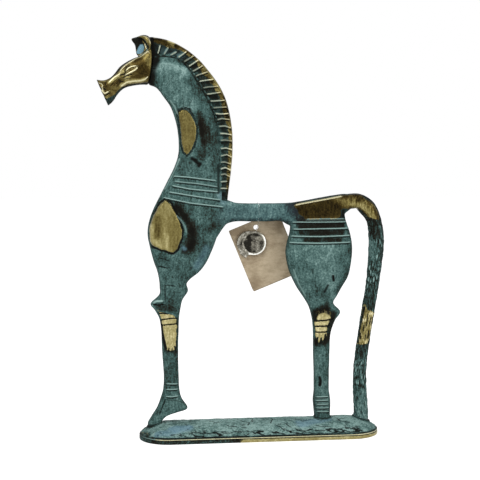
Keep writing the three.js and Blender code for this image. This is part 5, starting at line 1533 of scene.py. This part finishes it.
# Two pressed shells, each a profile of (radius, height) turned round Y, and the strap that joins them.
# Crumples move each vertex along its normal by roughness, inside the rim.
def tagSeal():
    radius, offset = seal["diameter"] / 2, seal["offset"]
    profile = [(seal["inside"], seal["back"])]
    profile += [(radius * share, seal[kind] * part) for share, kind, part in seal["profile"]]
    profile.append((seal["inside"], seal["dome"]))
    few, many = seal["rings"]
    flat = 1 / (len(profile) - 1)
    place = np.concatenate([np.linspace(0, flat, few, endpoint=False), np.linspace(flat, 1, many)])
    r, h = smoothLine(profile, place).T
    angle = ringAngles(seal["sides"])
    parts, shines, darks = [], [], []
    for side, shift in ((-1, 0.0), (1, -offset)):
        x, y, z = r[:, None] * np.cos(angle) + shift, side * h[:, None] + 0 * angle, r[:, None] * np.sin(angle)
        points, faces = skin(np.stack([x, y, z], -1))
        across, up = points[:, 0] - shift, points[:, 2]
        out = np.hypot(across, up)
        pressed = soft(radius * seal["pressed"] - out)
        size, seed, octaves = seal["crumple"]
        crumple = rough(points, size, seed + side, octaves)
        # painted highlight inside the rim, on its lower right
        rim, width = seal["bright"]
        bright = fade(out, radius * rim, width) * fade(across - up, *seal["brightSide"])
        points = points + normalsOf(points, faces) * (crumple * seal["depth"] * pressed)[:, None]
        parts.append((points, faces))
        plain, lit, less = seal["shine"]
        shines.append(plain + lit * bright - less * pressed)
        across, up = (points[:, 0] - shift) / radius, points[:, 2] / radius
        shade = fade(across, *seal["left"]) + fade(up, *seal["top"]) * seal["topShare"] if side < 0 else 0
        plain, lee, dents = seal["dark"]
        darks.append(np.clip(pressed * (plain + shade * lee - crumple * dents), 0, 1))
    wide, deep, long = seal["strap"]
    rows = [[-wide / 2, -radius + z, wide / 2, -radius + z, deep] for z in (long / 2, -long / 2)]
    t = np.linspace(0, 1, seal["strapRings"])
    points, faces = skin(plateGrid(rows, t, seal["strapSides"], seal["strapRound"]))
    parts.append((turned(points, -seal["strapTurn"], 0) - (offset / 2, 0, 0), faces))
    for held, value in zip((shines, darks), seal["strapTones"]):
        held.append(np.full(len(points), value))
    points, faces = gather(parts)
    points = turned(points - (0, 0, radius + seal["gap"]), 0, tag["lean"])
    tones = Tones(len(points))
    tones.values["shine"], tones.values["dark"] = np.concatenate(shines), np.concatenate(darks)
    points = points + (tag["x"] + offset * seal["swing"], *sealPlace())
    addPiece("seal", "loop", "seal_tin", points, faces, tones, "tag_seal")


hangTag()
tagThread()
tagSeal()

# Studio: pale floor, soft light and the photograph's camera

studio = {
    "floor": 6.0, "pale": 0.82, "glow": 0.66, "world": 0.46, "sensor": 36.0, "focal": 1183.0, "width": 480,
    "clip": (0.01, 20), "camera": (-0.0868, -0.6924, 0.1750), "aim": (-0.0018, 0.0, 0.1176),
    "lamps": [("key", (-0.7, -0.9, 1.1), 0.9, 12.0), ("fill", (0.9, -0.8, 0.5), 0.9, 5.0)],
}


# 1 where the floor or the world is seen directly, mirrored or through glass, and 0 where it only lights.
def isSeen(finish):
    path = finish.node("ShaderNodeLightPath")
    return (path[0] + path[3] + path[6]).held()


# Seen, the floor and the world are near white; as light they are dimmer.
def studioFloor():
    f = Finish(bpy.data.materials.new("studio_floor"))
    diffuse = f.node("ShaderNodeBsdfDiffuse", None, {"Color": (*[studio["pale"]] * 3, 1)})[0]
    glow = f.node("ShaderNodeEmission", None, {"Strength": isSeen(f) * studio["glow"]})[0]
    f.node("ShaderNodeOutputMaterial", None, {0: f.node("ShaderNodeAddShader", None, {0: diffuse, 1: glow})[0]})
    half = studio["floor"] / 2
    mesh = bpy.data.meshes.new("floor")
    mesh.from_pydata([(-half, -half, 0), (half, -half, 0), (half, half, 0), (-half, half, 0)], [], [(0, 1, 2, 3)])
    mesh.materials.append(f.owner)
    floor = bpy.data.objects.new("floor", mesh)
    bpy.context.scene.collection.objects.link(floor)


# Even light from all sides.
def studioWorld():
    world = bpy.data.worlds.new("studio")
    bpy.context.scene.world = world
    f = Finish(world)
    strength = isSeen(f) * (1 - studio["world"]) + studio["world"]
    sky = f.node("ShaderNodeBackground", None, {0: (1, 1, 1, 1), 1: strength})[0]
    f.node("ShaderNodeOutputWorld", None, {0: sky})


# Puts a lamp or the camera in its place and turns its -Z axis to the aim.
def aimed(made, place):
    made.location = place
    made.rotation_euler = (Vector(studio["aim"]) - Vector(place)).to_track_quat("-Z", "Y").to_euler()
    bpy.context.scene.collection.objects.link(made)


# Round area lamp.
def softLamp(name, place, size, power):
    lamp = bpy.data.lights.new(name, "AREA")
    lamp.shape, lamp.size, lamp.energy = "DISK", size, power
    aimed(bpy.data.objects.new(name, lamp), place)


# The focal length is given in pixels of the photograph.
def studioCamera():
    camera = bpy.data.cameras.new("photograph")
    camera.sensor_width = studio["sensor"]
    camera.lens = studio["focal"] * studio["sensor"] / studio["width"]
    camera.clip_start, camera.clip_end = studio["clip"]
    made = bpy.data.objects.new("photograph", camera)
    aimed(made, studio["camera"])
    bpy.context.scene.camera = made


studioFloor()
studioWorld()
for lamp in studio["lamps"]:
    softLamp(*lamp)
studioCamera()
bpy.context.scene.view_settings.view_transform = "Standard"
print("studio set")
